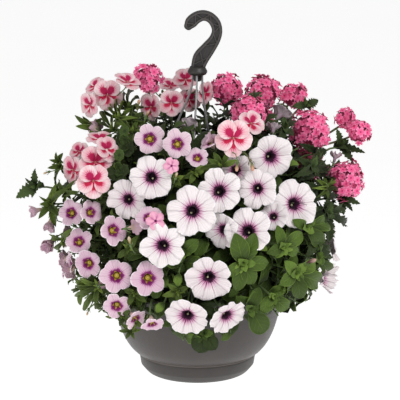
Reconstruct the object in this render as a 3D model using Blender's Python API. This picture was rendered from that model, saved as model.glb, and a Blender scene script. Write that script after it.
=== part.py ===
"""A flowering hanging basket: a bowl with a clip-on saucer, a three-strand hanger with its hook, five plants.

The plants are a petunia in front and one behind, a calibrachoa, a pelargonium and a verbena, grown together
into one round mound. Everything is laid out from the middle of the saucer's underside, with -Y towards the
viewer, and the whole basket is then moved so that its origin is the seat inside the hook. Units are metres
and radians, and angles in the tables are bearings in degrees.
"""

import math
import random

import bmesh
import bpy
from mathutils import Matrix, Vector
from mathutils.bvhtree import BVHTree

GAP = 0.0003
TURN = 2 * math.pi

# Bowl, saucer and soil: radius and height of each point of the turned outlines
RIM_RADIUS = 0.125
RIM_TOP = 0.130
BOWL_WALL = 0.0022
SAUCER_RADIUS = 0.081
SAUCER_HEIGHT = 0.028
BOWL_OUTSIDE = (
    (0.056, 0.0075), (0.070, 0.0165), (SAUCER_RADIUS - 0.002, SAUCER_HEIGHT + GAP),
    (0.0885, 0.0335), (0.0975, 0.0440), (0.1065, 0.0620), (0.1140, 0.0880),
    (0.1205, 0.1230), (RIM_RADIUS, 0.1240), (RIM_RADIUS, RIM_TOP),
)
BOWL_INSIDE = (
    (0.1195, RIM_TOP), (0.1160, 0.1055), (0.1080, 0.0755), (0.0950, 0.0465), (0.0765, 0.0300),
    (0.0680, 0.0195), (0.0550, 0.0105),
)
SAUCER_OUTSIDE = ((0.0600, 0.0), (0.0700, 0.0030), (0.0790, 0.0130), (SAUCER_RADIUS, SAUCER_HEIGHT))
SAUCER_INSIDE = ((0.0790, SAUCER_HEIGHT), (0.0770, 0.0138), (0.0685, 0.0048), (0.0590, 0.0022))
TURNED_SEGMENTS = 30
DRAIN_CIRCLE = 0.032
DRAIN_RADIUS = 0.005
DRAIN_COUNT = 4
SOIL_TOP = 0.1160
SOIL_EDGE = (0.1155, 0.1110)
SOIL_HOLE_DEPTH = 0.026
CROWN_RADIUS = 0.007
CROWN_CIRCLE = 0.058

# Hanger: hub, hook and the three strands
HUB_TOP = 0.431
HUB_RADIUS = 0.0134
HUB_BOTTOM = 0.4195
NECK_BOTTOM = 0.4105
STRAND_RADIUS = 0.0015
STRAND_CLEARANCE = 0.0004
STRAND_SOCKET = 0.0045
LUG_TOP = 0.1250
LUG_THICKNESS = 0.0030
LUG_RADIUS = 0.0062
BARB_RADIUS = 0.0030
# Each strand's route as bearing in degrees, distance from the axis and height
STRANDS = {
    "strand_left": (
        (150, 0.0080, 0.4225), (150, 0.0080, 0.4100), (150, 0.0135, 0.3900), (149, 0.0410, 0.3320),
        (148, 0.0700, 0.2650), (147, 0.0980, 0.1950), (146, 0.1123, 0.1500), (146, 0.1125, 0.1330),
        (146, 0.1125, 0.1190),
    ),
    "strand_front": (
        (263, 0.0080, 0.4225), (263, 0.0080, 0.4100), (263, 0.0130, 0.3900), (263, 0.0390, 0.3330),
        (264, 0.0680, 0.2650), (265, 0.0970, 0.1950), (266, 0.1123, 0.1500), (266, 0.1125, 0.1330),
        (266, 0.1125, 0.1190),
    ),
    "strand_right": (
        (35, 0.0080, 0.4225), (35, 0.0080, 0.4100), (48, 0.0115, 0.3900), (60, 0.0330, 0.3320),
        (50, 0.0640, 0.2650), (37, 0.0960, 0.1950), (26, 0.1123, 0.1500), (26, 0.1125, 0.1330),
        (26, 0.1125, 0.1190),
    ),
}
# The hook's middle line from the hub to the tip: across, height above the hub, and width of the band
HOOK_STATIONS = (
    (0.0006, -0.0070, 0.0185), (0.0012, 0.0010, 0.0195), (0.0052, 0.0122, 0.0215), (0.0142, 0.0240, 0.0188),
    (0.0232, 0.0368, 0.0152), (0.0266, 0.0485, 0.0142), (0.0240, 0.0592, 0.0142), (0.0168, 0.0670, 0.0134),
    (0.0075, 0.0696, 0.0138), (-0.0018, 0.0664, 0.0156), (-0.0090, 0.0600, 0.0162), (-0.0132, 0.0545, 0.0110),
)
HOOK_DEPTH = 0.0090
HOOK_BORDER = 0.0021
HOOK_WEB = 0.0030
HOOK_RIB = 0.0012
HOOK_SEAT = (0.0105, HUB_TOP + 0.0624)

# The setting-out grid: columns right of the axis and rows above the foot, seen from the viewing point
STEP = 0.00138
TARGET = Vector((0.0, 0.0, 0.250))
TARGET_ROW = 174
SIGHT_DISTANCE = 3.0
SIGHT_TILT = math.radians(12.5)
# The mound's half-widths across and deep, the height of its waist and top, and how far it draws in below
MOUND_ACROSS = 0.190
MOUND_DEEP = 0.172
MOUND_WAIST = 0.205
MOUND_TOP = 0.400
MOUND_DRAWN_IN = 0.16

# Each petunia spray: column, row, width in steps, lean right, lean up, and stand-off in millimetres
PETUNIA_SPRAYS = {
    "petunia_spray_1": ((-47, 192, 45, -0.05, 0.0, 12), (-71, 170, 42, -0.35, -0.05, -10)),
    "petunia_spray_2": ((-5, 159, 50, 0.0, 0.05, 10), (22, 179, 46, 0.0, 0.05, 0)),
    "petunia_spray_3": ((38, 200, 38, -0.05, 0.0, -20), (60, 181, 40, 0.1, 0.0, 4)),
    "petunia_spray_4": ((99, 166, 50, 0.4, 0.0, 2), (76, 154, 30, 0.0, 0.2, -6)),
    "petunia_spray_5": ((75, 213, 46, 0.5, -0.1, 2),),
    "petunia_spray_6": ((51, 139, 48, 0.0, -0.05, 6), (24, 139, 38, -0.5, -0.15, -12)),
    "petunia_spray_7": ((-35, 123, 46, -0.05, -0.2, 10),),
    "petunia_spray_8": ((11, 91, 48, 0.05, -0.3, 6),),
    "petunia_spray_9": ((-11, 52, 46, -0.1, -0.35, 10), (31, 52, 42, 0.4, -0.3, 4)),
}
CALIBRACHOA_SPRAYS = {
    "calibrachoa_spray_1": ((-48, 231, 32, -0.05, 0.0, 4), (-20, 226, 30, 0.1, 0.05, 4)),
    "calibrachoa_spray_2": ((-127, 157, 28, -0.3, 0.0, 2), (-106, 158, 26, 0.45, 0.35, -4)),
    "calibrachoa_spray_3": ((-83, 140, 31, 0.5, 0.0, 5), (-49, 153, 26, 0.0, 0.55, 2)),
    "calibrachoa_spray_4": ((-119, 129, 28, -0.3, 0.15, 2), (-110, 106, 30, -0.35, -0.1, 2),
                            (-128, 108, 24, -0.93, -0.1, -4)),
    "calibrachoa_spray_5": ((-81, 94, 34, -0.15, -0.1, 2), (-49, 91, 35, 0.0, -0.05, -2)),
    "calibrachoa_spray_6": ((-81, 63, 29, -0.15, -0.1, 6), (-61, 50, 24, 0.6, -0.4, 2),
                            (-45, 44, 24, 0.3, -0.7, 4)),
    "calibrachoa_spray_7": ((-163, 159, 15, -0.85, -0.35, 0), (-148, 126, 18, -0.5, -0.6, 0),
                            (-147, 144, 16, -0.3, -0.85, 0)),
    "calibrachoa_spray_8": ((0, 213, 24, 0.1, 0.5, -8), (12, 229, 22, -0.45, 0.65, -8)),
}
# Sprays round the back: bearing in degrees, height, width in steps, lean up and stand-off in millimetres
PETUNIA_BACK = {
    "petunia_spray_10": ((338, 0.150, 44, 0.1, 0), (352, 0.190, 42, 0.1, 0)),
    "petunia_spray_11": ((60, 0.180, 46, 0.0, 0), (82, 0.225, 46, 0.1, 4)),
    "petunia_spray_12": ((76, 0.130, 44, -0.1, 0), (100, 0.165, 46, -0.1, 4)),
    "petunia_spray_13": ((112, 0.225, 44, 0.1, 0),),
}
CALIBRACHOA_BACK = {
    "calibrachoa_spray_9": ((178, 0.150, 30, 0.0, 0), (166, 0.185, 30, 0.1, 0)),
    "calibrachoa_spray_10": ((148, 0.150, 30, 0.0, 0), (136, 0.185, 30, 0.1, 0), (130, 0.130, 28, 0.0, 0)),
}
# Each pelargonium truss: column, row, width, lean right, lean up and stand-off of its florets
TRUSSES = {
    "pelargonium_truss_1": ((-90, 275, 32, -0.15, 0.05, 12), (-70, 289, 28, 0.2, 0.85, 0),
                            (-108, 265, 26, -0.75, -0.05, 0), (-103, 284, 24, -0.5, 0.7, 0)),
    "pelargonium_truss_2": ((-104, 189, 34, 0.0, -0.1, 18), (-102, 208, 33, 0.0, 0.2, 12),
                            (-125, 200, 30, -0.75, 0.0, 4), (-90, 221, 27, 0.45, 0.45, 6),
                            (-98, 232, 28, 0.0, 0.9, 2), (-119, 219, 22, -0.5, 0.5, 2)),
    "pelargonium_truss_3": ((-26, 267, 27, 0.05, 0.0, -70), (-47, 263, 28, -0.6, 0.0, -70),
                            (-46, 283, 18, -0.1, 0.35, -70), (-27, 285, 24, 0.0, 0.85, -50)),
    "pelargonium_truss_4": ((36, 232, 37, 0.05, 0.05, 14), (54, 247, 28, 0.35, 0.55, 6)),
    "pelargonium_truss_5": ((-8, 270, 25, 0.2, 0.05, -122), (-12, 291, 26, 0.0, 0.5, -50),
                            (8, 277, 25, 0.75, -0.1, -80)),
}
TRUSSES_BACK = {
    "pelargonium_truss_6": ((122, 0.300, 34, 0.3, 6), (132, 0.285, 30, 0.3, 6), (116, 0.272, 30, 0.2, 6)),
}
# Each verbena head: column, row, width, lean right, lean up and stand-off
HEADS = {
    "verbena_head_1": (-51, 296, 30, -0.1, 0.7, -30),
    "verbena_head_2": (29, 284, 35, 0.0, 0.6, -30),
    "verbena_head_3": (67, 282, 36, 0.1, 0.6, 0),
    "verbena_head_4": (51, 260, 34, 0.1, 0.4, 0),
    "verbena_head_5": (99, 277, 28, 0.4, 0.6, -20),
    "verbena_head_6": (114, 241, 42, 0.3, 0.2, 0),
    "verbena_head_7": (148, 254, 22, 0.1, 0.5, -16),
    "verbena_head_8": (164, 240, 25, 0.6, 0.4, 10),
    "verbena_head_9": (151, 190, 41, 0.5, 0.0, 0),
}
HEADS_BACK = {
    "verbena_head_10": (48, 0.345, 34, 0.6, 6),
    "verbena_head_11": (22, 0.285, 36, 0.3, 0),
    "verbena_head_12": (38, 0.225, 36, 0.1, 6),
}
# The five plants: bearings that each one fills, number of leafy shoots, and its leaf
PLANTS = {
    "petunia_plant": {"from": 242, "to": 340, "shoots": 4, "leaf": "petunia"},
    "calibrachoa_plant": {"from": 150, "to": 242, "shoots": 4, "leaf": "calibrachoa"},
    "pelargonium_plant": {"from": 105, "to": 150, "shoots": 3, "leaf": "pelargonium"},
    "petunia_plant_behind": {"from": 55, "to": 105, "shoots": 4, "leaf": "petunia"},
    "verbena_plant": {"from": -20, "to": 55, "shoots": 4, "leaf": "verbena"},
}
# Leaf rosettes seen in front: place on the grid and stand-off, then each leaf's tip on the grid and its width
ROSETTES = {
    "petunia_plant": (
        (46, 108, 6, ((40, 133, 20), (60, 130, 13), (74, 108, 15), (54, 88, 15), (40, 80, 15))),
        (88, 125, 2, ((74, 136, 13), (101, 140, 13), (93, 110, 12))),
        (108, 138, 0, ((125, 150, 11), (124, 127, 11))),
        (100, 95, 6, ((126, 87, 14), (91, 72, 13), (74, 78, 13), (114, 111, 12), (101, 61, 11))),
        (50, 72, -8, ((66, 40, 20), (60, 92, 13))),
        (6, 38, -8, ((-4, 16, 14), (17, 18, 12))),
        (24, 214, -8, ((8, 220, 12), (38, 204, 12))),
    ),
    "calibrachoa_plant": (
        (-112, 85, 0, ((-124, 70, 8), (-115, 61, 7), (-100, 72, 8), (-99, 92, 7))),
        (-22, 76, -4, ((-34, 86, 8), (-9, 82, 8), (-20, 62, 8))),
        (-134, 168, -4, ((-146, 176, 8), (-124, 178, 8), (-138, 152, 8))),
        (-146, 196, -8, ((-137, 216, 9), (-152, 208, 9), (-156, 190, 8))),
    ),
    "pelargonium_plant": (
        (-166, 182, -4, ((-183, 186, 15), (-174, 200, 15), (-158, 199, 14), (-180, 173, 13))),
        (-106, 240, -6, ((-123, 246, 15), (-113, 254, 14))),
    ),
    "verbena_plant": (
        (124, 158, 0, ((135, 134, 9), (129, 106, 9), (116, 132, 9))),
        (146, 158, -4, ((151, 146, 7), (138, 144, 8))),
        (150, 222, -8, ((167, 226, 9), (140, 210, 9), (150, 206, 9))),
    ),
}
# The plants' close-grown inside: radius and height of its outline, and corners along each plant's share
CORE_OUTLINE = ((0.098, SOIL_TOP + GAP), (0.104, 0.130), (0.086, 0.190), (0.056, 0.260), (0.024, 0.305))
CORE_STEPS = 5
# Where stalks may leave it: degrees kept from the next plant's share, and the lowest and highest seat
SEAT_MARGIN = 7
SEAT_LOW = 0.158
SEAT_HIGH = 0.285
# Other places for a stalk's seat, tried in turn: turned and raised on the side, and turned and out on the top
SEAT_TRIES = ((0, 0), (12, 0), (-12, 0), (0, 0.03), (12, 0.03), (-12, 0.03), (24, 0), (-24, 0), (0, 0.06))
TOP_TRIES = ((0, 0.017), (14, 0.019), (-14, 0.019), (0, 0.010))
SHOOT_SEED = 41
SHOOT_TRIES = 12
SHOOT_RADIUS = 0.0017
LEAF_THICKNESS = 0.0014
# Leaf form: length, width and widest place as shares of it, teeth on each side, and leaves on a shoot
LEAVES = {
    "petunia": (0.034, 0.62, 0.48, 0, 4),
    "calibrachoa": (0.025, 0.34, 0.50, 0, 5),
    "pelargonium": (0.028, 0.95, 0.52, 1, 4),
    "verbena": (0.032, 0.50, 0.45, 1, 4),
}
# Trumpet form as shares of its radius, and the points that draw each lobe's edge
PETUNIA_FORM = {"tube": 0.95, "throat": 0.19, "notch": 0.87, "dish": 0.24, "points": 3}
CALIBRACHOA_FORM = {"tube": 1.05, "throat": 0.24, "notch": 0.84, "dish": 0.26, "points": 2}
PETAL_THICKNESS = 0.0014
PEDICEL_RADIUS = 0.0011
KNUCKLE = 0.0030
# How far below the middle of a verbena head its flat foot lies, as a share of its radius, and the gap there
HEAD_FOOT = 0.604
STALK_GAP = 0.0007
# What a stalk may bend aside and up by, near its seat and then near its bloom, least bent first
BENDS = sorted(
    (
        (aside, rise, high)
        for aside in (0.0, 0.012, -0.012, 0.024, -0.024, 0.040, -0.040, 0.060, -0.060)
        for rise in (0.0, 0.018, 0.036, 0.060, -0.018, -0.036)
        for high in (0.0, 0.020, 0.040, -0.020)
    ),
    key=lambda bend: abs(bend[0]) + abs(bend[1]) + abs(bend[2]),
)
# What a set-out leaf's tip may move out or in by, tried in turn
SHIFTS = (0.0, 0.006, -0.006, 0.012, -0.012, 0.018, -0.018)
# Colour and roughness of each material
COLOURS = {
    "bowl_plastic": (0.115, 0.100, 0.092, 0.45),
    "hanger_plastic": (0.030, 0.028, 0.027, 0.50),
    "strand_plastic": (0.180, 0.180, 0.190, 0.35),
    "soil": (0.030, 0.018, 0.011, 0.95),
    "petunia_petal": (0.880, 0.780, 0.800, 0.60),
    "calibrachoa_petal": (0.750, 0.420, 0.590, 0.60),
    "pelargonium_petal": (0.860, 0.400, 0.480, 0.60),
    "verbena_petal": (0.780, 0.085, 0.240, 0.60),
    "leaf": (0.075, 0.160, 0.030, 0.55),
}


def clear_scene():
    for item in list(bpy.data.objects):
        bpy.data.objects.remove(item)


def material(name):
    found = bpy.data.materials.get(name)
    if found:
        return found
    red, green, blue, roughness = COLOURS[name]
    made = bpy.data.materials.new(name)
    made.use_nodes = True
    shader = made.node_tree.nodes["Principled BSDF"]
    shader.inputs["Base Color"].default_value = (red, green, blue, 1.0)
    shader.inputs["Roughness"].default_value = roughness
    shader.inputs["Metallic"].default_value = 0.0
    return made


def add_object(name, shape, finish):
    """An object of this name from a bmesh, in its own material."""
    mesh = bpy.data.meshes.new(name)
    shape.normal_update()
    bmesh.ops.recalc_face_normals(shape, faces=shape.faces)
    shape.to_mesh(mesh)
    shape.free()
    mesh.materials.append(material(finish))
    made = bpy.data.objects.new(name, mesh)
    bpy.context.scene.collection.objects.link(made)
    return made


def boolean(target, others, operation, solver="EXACT"):
    """Joins others to target or cuts them from it, and removes them."""
    tools = bpy.data.collections.new("tools")
    bpy.context.scene.collection.children.link(tools)
    for other in others:
        bpy.context.scene.collection.objects.unlink(other)
        tools.objects.link(other)
    step = target.modifiers.new("join", "BOOLEAN")
    step.operation = operation
    step.operand_type = "COLLECTION"
    step.collection = tools
    step.solver = solver
    bpy.context.view_layer.update()
    graph = bpy.context.evaluated_depsgraph_get()
    mesh = bpy.data.meshes.new_from_object(target.evaluated_get(graph))
    target.modifiers.remove(step)
    target.data = mesh
    for other in others:
        bpy.data.objects.remove(other)
    bpy.data.collections.remove(tools)
    return target


def polar(bearing, distance, height):
    angle = math.radians(bearing)
    return Vector((distance * math.cos(angle), distance * math.sin(angle), height))


def turned(outline, segments=TURNED_SEGMENTS):
    """A solid turned about the upright axis from (radius, height) points, closed on the axis at both ends."""
    shape = bmesh.new()
    points = [(0.0, outline[0][1]), *outline, (0.0, outline[-1][1])]
    corners = [shape.verts.new((radius, 0.0, height)) for radius, height in points]
    edges = [shape.edges.new(pair) for pair in zip(corners, corners[1:])]
    bmesh.ops.spin(
        shape, geom=corners + edges, axis=(0, 0, 1), cent=(0, 0, 0), angle=TURN, steps=segments,
        use_merge=True,
    )
    bmesh.ops.remove_doubles(shape, verts=shape.verts, dist=1e-6)
    return shape


def cylinder(radius, start, end, segments=12):
    """A closed round bar between two points."""
    start, end = Vector(start), Vector(end)
    axis = end - start
    turn = axis.to_track_quat("Z", "Y").to_matrix().to_4x4()
    shape = bmesh.new()
    bmesh.ops.create_cone(
        shape, cap_ends=True, cap_tris=False, segments=segments, radius1=radius, radius2=radius,
        depth=axis.length, matrix=Matrix.Translation((start + end) / 2) @ turn,
    )
    return shape


def ball(radius, middle, around=6, layers=3):
    """A round bead with few sides."""
    shape = bmesh.new()
    bmesh.ops.create_uvsphere(
        shape, u_segments=around, v_segments=layers, radius=radius, matrix=Matrix.Translation(Vector(middle))
    )
    return shape


def knot(middle, radius, way):
    """A small eight-sided bead with one of its points along a direction."""
    shape = ball(radius, (0, 0, 0), 4, 2)
    shape.transform(facing_matrix(middle, way))
    return shape


def smooth_route(points, pieces):
    """Points along a smooth curve through the route's own points."""
    ends = [points[0], *points, points[-1]]
    route = []
    for a, b, c, d in zip(ends, ends[1:], ends[2:], ends[3:]):
        for step in range(pieces):
            t = step / pieces
            bow = (2 * a - 5 * b + 4 * c - d) * t**2 + (3 * b - a - 3 * c + d) * t**3
            route.append(0.5 * (2 * b + (c - a) * t + bow))
    return [*route, points[-1]]


def bent(start, leave, arrive, end, pieces):
    """Points along a curve that leaves start towards leave and comes to end from arrive."""
    route = []
    for step in range(pieces + 1):
        t = step / pieces
        route.append(
            start * (1 - t) ** 3 + leave * 3 * t * (1 - t) ** 2 + arrive * 3 * t**2 * (1 - t) + end * t**3
        )
    return route


def tube(route, radii, sides):
    """A closed tube along a route, by extruding one ring of corners from point to point."""
    shape = bmesh.new()
    ring = []
    side = None
    for index, point in enumerate(route):
        before, after = route[max(index - 1, 0)], route[min(index + 1, len(route) - 1)]
        along = (after - before).normalized()
        side = along.orthogonal() if side is None else side - along * side.dot(along)
        side.normalize()
        other = along.cross(side)
        radius = radii[0] + (radii[1] - radii[0]) * index / (len(route) - 1)
        places = [
            point + radius * (side * math.cos(TURN * k / sides) + other * math.sin(TURN * k / sides))
            for k in range(sides)
        ]
        if not ring:
            ring = [shape.verts.new(place) for place in places]
            shape.faces.new(ring)
            continue
        edges = [shape.edges.get((ring[k], ring[(k + 1) % sides])) for k in range(sides)]
        grown = bmesh.ops.extrude_edge_only(shape, edges=edges)["geom"]
        fresh = [item for item in grown if isinstance(item, bmesh.types.BMVert)]
        ordered = []
        for corner in ring:
            ordered.append(next(v for v in fresh if any(e.other_vert(v) is corner for e in v.link_edges)))
        for corner, place in zip(ordered, places):
            corner.co = place
        ring = ordered
    shape.faces.new(ring)
    return shape


def sight(column, row):
    """The viewing point and the direction from it through a place on the setting-out grid."""
    forward = Vector((0.0, math.cos(SIGHT_TILT), -math.sin(SIGHT_TILT)))
    up = Vector((0.0, math.sin(SIGHT_TILT), math.cos(SIGHT_TILT)))
    eye = TARGET - forward * SIGHT_DISTANCE
    place = TARGET + Vector((1, 0, 0)) * column * STEP + up * (row - TARGET_ROW) * STEP
    return eye, (place - eye).normalized(), up


def girth(height):
    """The share of the mound's full width that it has at a height."""
    if height > MOUND_WAIST:
        return math.sqrt(max(1 - ((height - MOUND_WAIST) / (MOUND_TOP - MOUND_WAIST)) ** 2, 0.0))
    return 1 - MOUND_DRAWN_IN * ((MOUND_WAIST - height) / MOUND_WAIST) ** 2


def on_mound(column, row, stand_off):
    """Where the line of sight through a place on the grid meets the mound, or passes nearest to it."""
    eye, look, _ = sight(column, row)
    nearest = None
    for step in range(500):
        point = eye + look * (SIGHT_DISTANCE + 0.001 * (step - 250))
        outside = math.hypot(point.x / MOUND_ACROSS, point.y / MOUND_DEEP) - girth(point.z)
        if nearest is None or outside < nearest[0]:
            nearest = (outside, point)
        if outside <= 0:
            break
    return nearest[1] - look * stand_off / 1000


def set_out(column, row, lean_right, lean_up, stand_off):
    """Where a bloom set out on the grid stands on the mound, and the way that it faces."""
    _, look, up = sight(column, row)
    facing = -look * math.sqrt(1 - lean_right**2 - lean_up**2) + Vector((1, 0, 0)) * lean_right + up * lean_up
    return on_mound(column, row, stand_off), facing.normalized()


def set_behind(bearing, height, lean_up, stand_off):
    """Where a bloom at this bearing and height stands on the mound, and the way that it faces."""
    outwards = polar(bearing, 1.0, 0.0)
    share = girth(height)
    point = Vector((outwards.x * MOUND_ACROSS * share, outwards.y * MOUND_DEEP * share, height))
    facing = (outwards + Vector((0, 0, lean_up))).normalized()
    return point + facing * stand_off / 1000, facing


def placed(rows, rows_behind=()):
    """Point, facing and radius of every bloom in a spray."""
    spots = [(*set_out(*row[:2], *row[3:]), row[2] * STEP / 2) for row in rows]
    spots.extend((*set_behind(*row[:2], *row[3:]), row[2] * STEP / 2) for row in rows_behind)
    return spots


def facing_matrix(point, facing):
    return Matrix.Translation(point) @ facing.to_track_quat("Z", "Y").to_matrix().to_4x4()


def wheel(shape, distance, height, count, notch=1.0, rise=0.0, per_petal=3):
    """A ring of corners about the upright axis, where the first corner of each petal is a notch."""
    corners = []
    for k in range(count):
        angle = TURN * k / count
        is_notch = count > 5 and k % per_petal == 0
        reach = distance * (notch if is_notch else 1.0)
        lift = 0.0 if is_notch else rise
        corners.append(shape.verts.new((reach * math.cos(angle), reach * math.sin(angle), height + lift)))
    return corners


def closed_rings(shape, rings, tip):
    """Faces from ring to ring, from a point in front to the last ring, which is closed flat."""
    front = shape.verts.new((0, 0, tip))
    for near, far in zip(rings[0], [*rings[0][1:], rings[0][0]]):
        shape.faces.new((front, near, far))
    for near, far in zip(rings, rings[1:]):
        stitch(shape, near, far)
    shape.faces.new(rings[-1])


def trumpet(point, facing, radius, form):
    """A five-lobed trumpet, open at the front and thinnest at its edge, whose tube ends at the calyx."""
    shape = bmesh.new()
    mouth, dish, notch = form["throat"] * radius, form["dish"] * radius, form["notch"]
    points = form["points"]
    rings = [
        wheel(shape, mouth, -dish, 5),
        wheel(shape, radius, 0.0, 5 * points, notch, -0.05 * radius, points),
        wheel(shape, mouth + PETAL_THICKNESS, -dish - 1.5 * PETAL_THICKNESS, 5),
        wheel(shape, 0.09 * radius + 0.0004, -form["tube"] * radius, 5),
    ]
    closed_rings(shape, rings, -0.60 * form["tube"] * radius)
    shape.transform(facing_matrix(point, facing))
    return shape


def stitch(shape, near, far):
    """Joins two rings of corners, where one may hold several times as many as the other."""
    if len(near) > len(far):
        near, far = far, near
    share = len(far) // len(near)
    for k, corner in enumerate(near):
        following = near[(k + 1) % len(near)]
        run = [far[(k * share + step) % len(far)] for step in range(share + 1)]
        middle = share // 2
        for step in range(share):
            inner = corner if step <= middle else following
            shape.faces.new((inner, run[step], run[step + 1]))
        shape.faces.new((corner, run[middle + 1], following))


def floret(point, facing, radius):
    """A pelargonium floret: five round petals, thinnest at their edges, round a small eye on a short spur."""
    shape = bmesh.new()
    rings = [
        wheel(shape, radius, 0.0, 15, 0.50, 0.16 * radius),
        wheel(shape, 0.18 * radius, -0.10 * radius - 1.5 * PETAL_THICKNESS, 5),
        wheel(shape, 0.08 * radius, -0.45 * radius, 5),
    ]
    closed_rings(shape, rings, -0.06 * radius)
    shape.transform(facing_matrix(point, facing))
    return shape


def ball_of_stars(point, facing, radius, spin):
    """A verbena head: a ball whose sides each carry a five-petalled star, plain where its stalk meets it."""
    guide = bmesh.new()
    bmesh.ops.create_icosphere(guide, subdivisions=1, radius=1.0)
    first = next(iter(guide.verts)).co.normalized()
    turn = Matrix.Rotation(spin, 3, "Z") @ first.rotation_difference(Vector((0, 0, 1))).to_matrix()
    shape = bmesh.new()
    middles = {face.index: turn @ face.calc_center_median().normalized() for face in guide.faces}
    grooves = {index: shape.verts.new(middle * 0.76 * radius) for index, middle in middles.items()}
    notches = {}
    for edge in guide.edges:
        pair = frozenset(face.index for face in edge.link_faces)
        between = sum((middles[index] for index in pair), Vector()).normalized()
        notches[pair] = shape.verts.new(between * 0.71 * radius)
    for corner in guide.verts:
        way = turn @ corner.co.normalized()
        side = way.orthogonal().normalized()
        other = way.cross(side)
        around = sorted(
            (face.index for face in corner.link_faces),
            key=lambda index: math.atan2(middles[index].dot(other), middles[index].dot(side)),
        )
        between = [notches[frozenset((around[k], around[(k + 1) % 5]))] for k in range(5)]
        if way.z < -0.5:
            foot = [corner for k in range(5) for corner in (grooves[around[k]], between[k])]
            shape.faces.new(foot)
            continue
        eye = shape.verts.new(way * 0.86 * radius)
        tips = [
            shape.verts.new((middles[index] * 0.88 + way * 0.30).normalized() * radius) for index in around
        ]
        for k, index in enumerate(around):
            tip, before, after = tips[k], between[k - 1], between[k]
            shape.faces.new((grooves[index], after, tip))
            shape.faces.new((grooves[index], tip, before))
            shape.faces.new((eye, before, tip))
            shape.faces.new((eye, tip, after))
    guide.free()
    shape.transform(facing_matrix(point - facing * 0.45 * radius, facing))
    return shape


def blade(root, tip, up, width, kind):
    """A leaf: an arched blade from stem to tip, thickest along its rib, with smooth or toothed edges."""
    _, _, widest, teeth, _ = LEAVES[kind]
    length = (tip - root).length
    along = (tip - root) / length
    up = (up - along * up.dot(along)).normalized()
    side = along.cross(up)
    count = 2 * teeth + 1 if teeth else (1 if kind == "calibrachoa" else 2)
    shape = bmesh.new()

    def corner(share, offset, lift=0.0):
        arch = 0.16 * length * math.sin(math.pi * share) * (1 - 0.4 * share) + 0.10 * width * abs(offset)
        return shape.verts.new(root + along * share * length + side * offset * width / 2 + up * (arch + lift))

    start, end = corner(0.0, 0.0), corner(1.0, 0.0)
    edges = {1: [start], -1: [start]}
    ribs = {1: [start], -1: [start]}
    for k in range(count):
        share = (k + 1) / (count + 1) + (widest - 0.5) * 0.6
        swell = 1 - abs((share - widest) / (1 - widest if share > widest else widest)) ** 2.2
        swell *= 0.66 if teeth and k % 2 else 1.0
        for way in (1, -1):
            edges[way].append(corner(share, way * swell))
            ribs[way].append(corner(share, 0.0, way * LEAF_THICKNESS / 2))
    for face in (1, -1):
        for way in (1, -1):
            outer, inner = [*edges[way], end], [*ribs[face], end]
            for k in range(count + 1):
                if k:
                    shape.faces.new((inner[k], outer[k], outer[k + 1]))
                if k < count:
                    shape.faces.new((inner[k], outer[k + 1], inner[k + 1]))
    return shape


def tree_of(shape):
    return BVHTree.FromBMesh(shape)


def mesh_tree(item):
    corners = [item.matrix_world @ corner.co for corner in item.data.vertices]
    return BVHTree.FromPolygons(corners, [face.vertices[:] for face in item.data.polygons])


def is_clear(shape, trees, owners, room=0.0006):
    """Whether a shape keeps this much room from everything but its own pieces."""
    own = tree_of(shape)
    for name, others in trees.items():
        for tree in others if name not in owners else ():
            if tree.overlap(own):
                return False
            if any(tree.find_nearest(corner.co, room)[0] is not None for corner in shape.verts):
                return False
    return True


def build_bowl():
    bowl = add_object("bowl", turned([*BOWL_OUTSIDE, *BOWL_INSIDE]), "bowl_plastic")
    lugs, holes = [], []
    for route in STRANDS.values():
        bearing, distance, _ = route[-1]
        low = LUG_TOP - LUG_THICKNESS
        lugs.append(add_object("lug", cylinder(
            LUG_RADIUS, polar(bearing, distance, low), polar(bearing, distance, LUG_TOP), 8), "bowl_plastic"))
        holes.append(add_object("hole", cylinder(
            STRAND_RADIUS + STRAND_CLEARANCE, polar(bearing, distance, low - 0.002),
            polar(bearing, distance, LUG_TOP + 0.002), 6), "bowl_plastic"))
    for k in range(DRAIN_COUNT):
        bearing = 45 + 360 * k / DRAIN_COUNT
        low, high = polar(bearing, DRAIN_CIRCLE, 0.004), polar(bearing, DRAIN_CIRCLE, 0.014)
        holes.append(add_object("hole", cylinder(DRAIN_RADIUS, low, high, 6), "bowl_plastic"))
    boolean(bowl, lugs, "UNION")
    return boolean(bowl, holes, "DIFFERENCE")


def build_saucer():
    return add_object("drip_saucer", turned([*SAUCER_OUTSIDE, *SAUCER_INSIDE]), "bowl_plastic")


def build_soil():
    """The soil fills the bowl to just under its lugs, with a plain hole for each plant's crown."""
    fill = [(radius - GAP, height + GAP) for radius, height in BOWL_INSIDE[-1:1:-2]]
    soil = add_object("soil", turned([*fill, SOIL_EDGE, (0.108, SOIL_TOP)]), "soil")
    holes = []
    for plant in PLANTS.values():
        spot = crown_spot(plant)
        low, high = spot - Vector((0, 0, SOIL_HOLE_DEPTH)), spot + Vector((0, 0, 0.010))
        holes.append(add_object("hole", cylinder(CROWN_RADIUS + GAP, low, high, 6), "soil"))
    return boolean(soil, holes, "DIFFERENCE")


def crown_spot(plant):
    return polar((plant["from"] + plant["to"]) / 2, CROWN_CIRCLE, SOIL_TOP)


def hook_edges(inset):
    """The hook's two edges, drawn in by an inset, from the hub up one side and back down the other."""
    middle = smooth_route([Vector((x, 0, z)) for x, z, _ in HOOK_STATIONS], 2)
    widths = smooth_route([Vector((width, 0, 0)) for _, _, width in HOOK_STATIONS], 2)
    right, left = [], []
    for index, point in enumerate(middle):
        before, after = middle[max(index - 1, 0)], middle[min(index + 1, len(middle) - 1)]
        along = (after - before).normalized()
        across = Vector((along.z, 0, -along.x))
        reach = max(widths[index].x / 2 - inset, 0.0004)
        if inset and index in (0, len(middle) - 1):
            point = point + along * inset * (1 if index == 0 else -1)
        right.append(point + across * reach)
        left.append(point - across * reach)
    return right + left[::-1]


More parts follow.
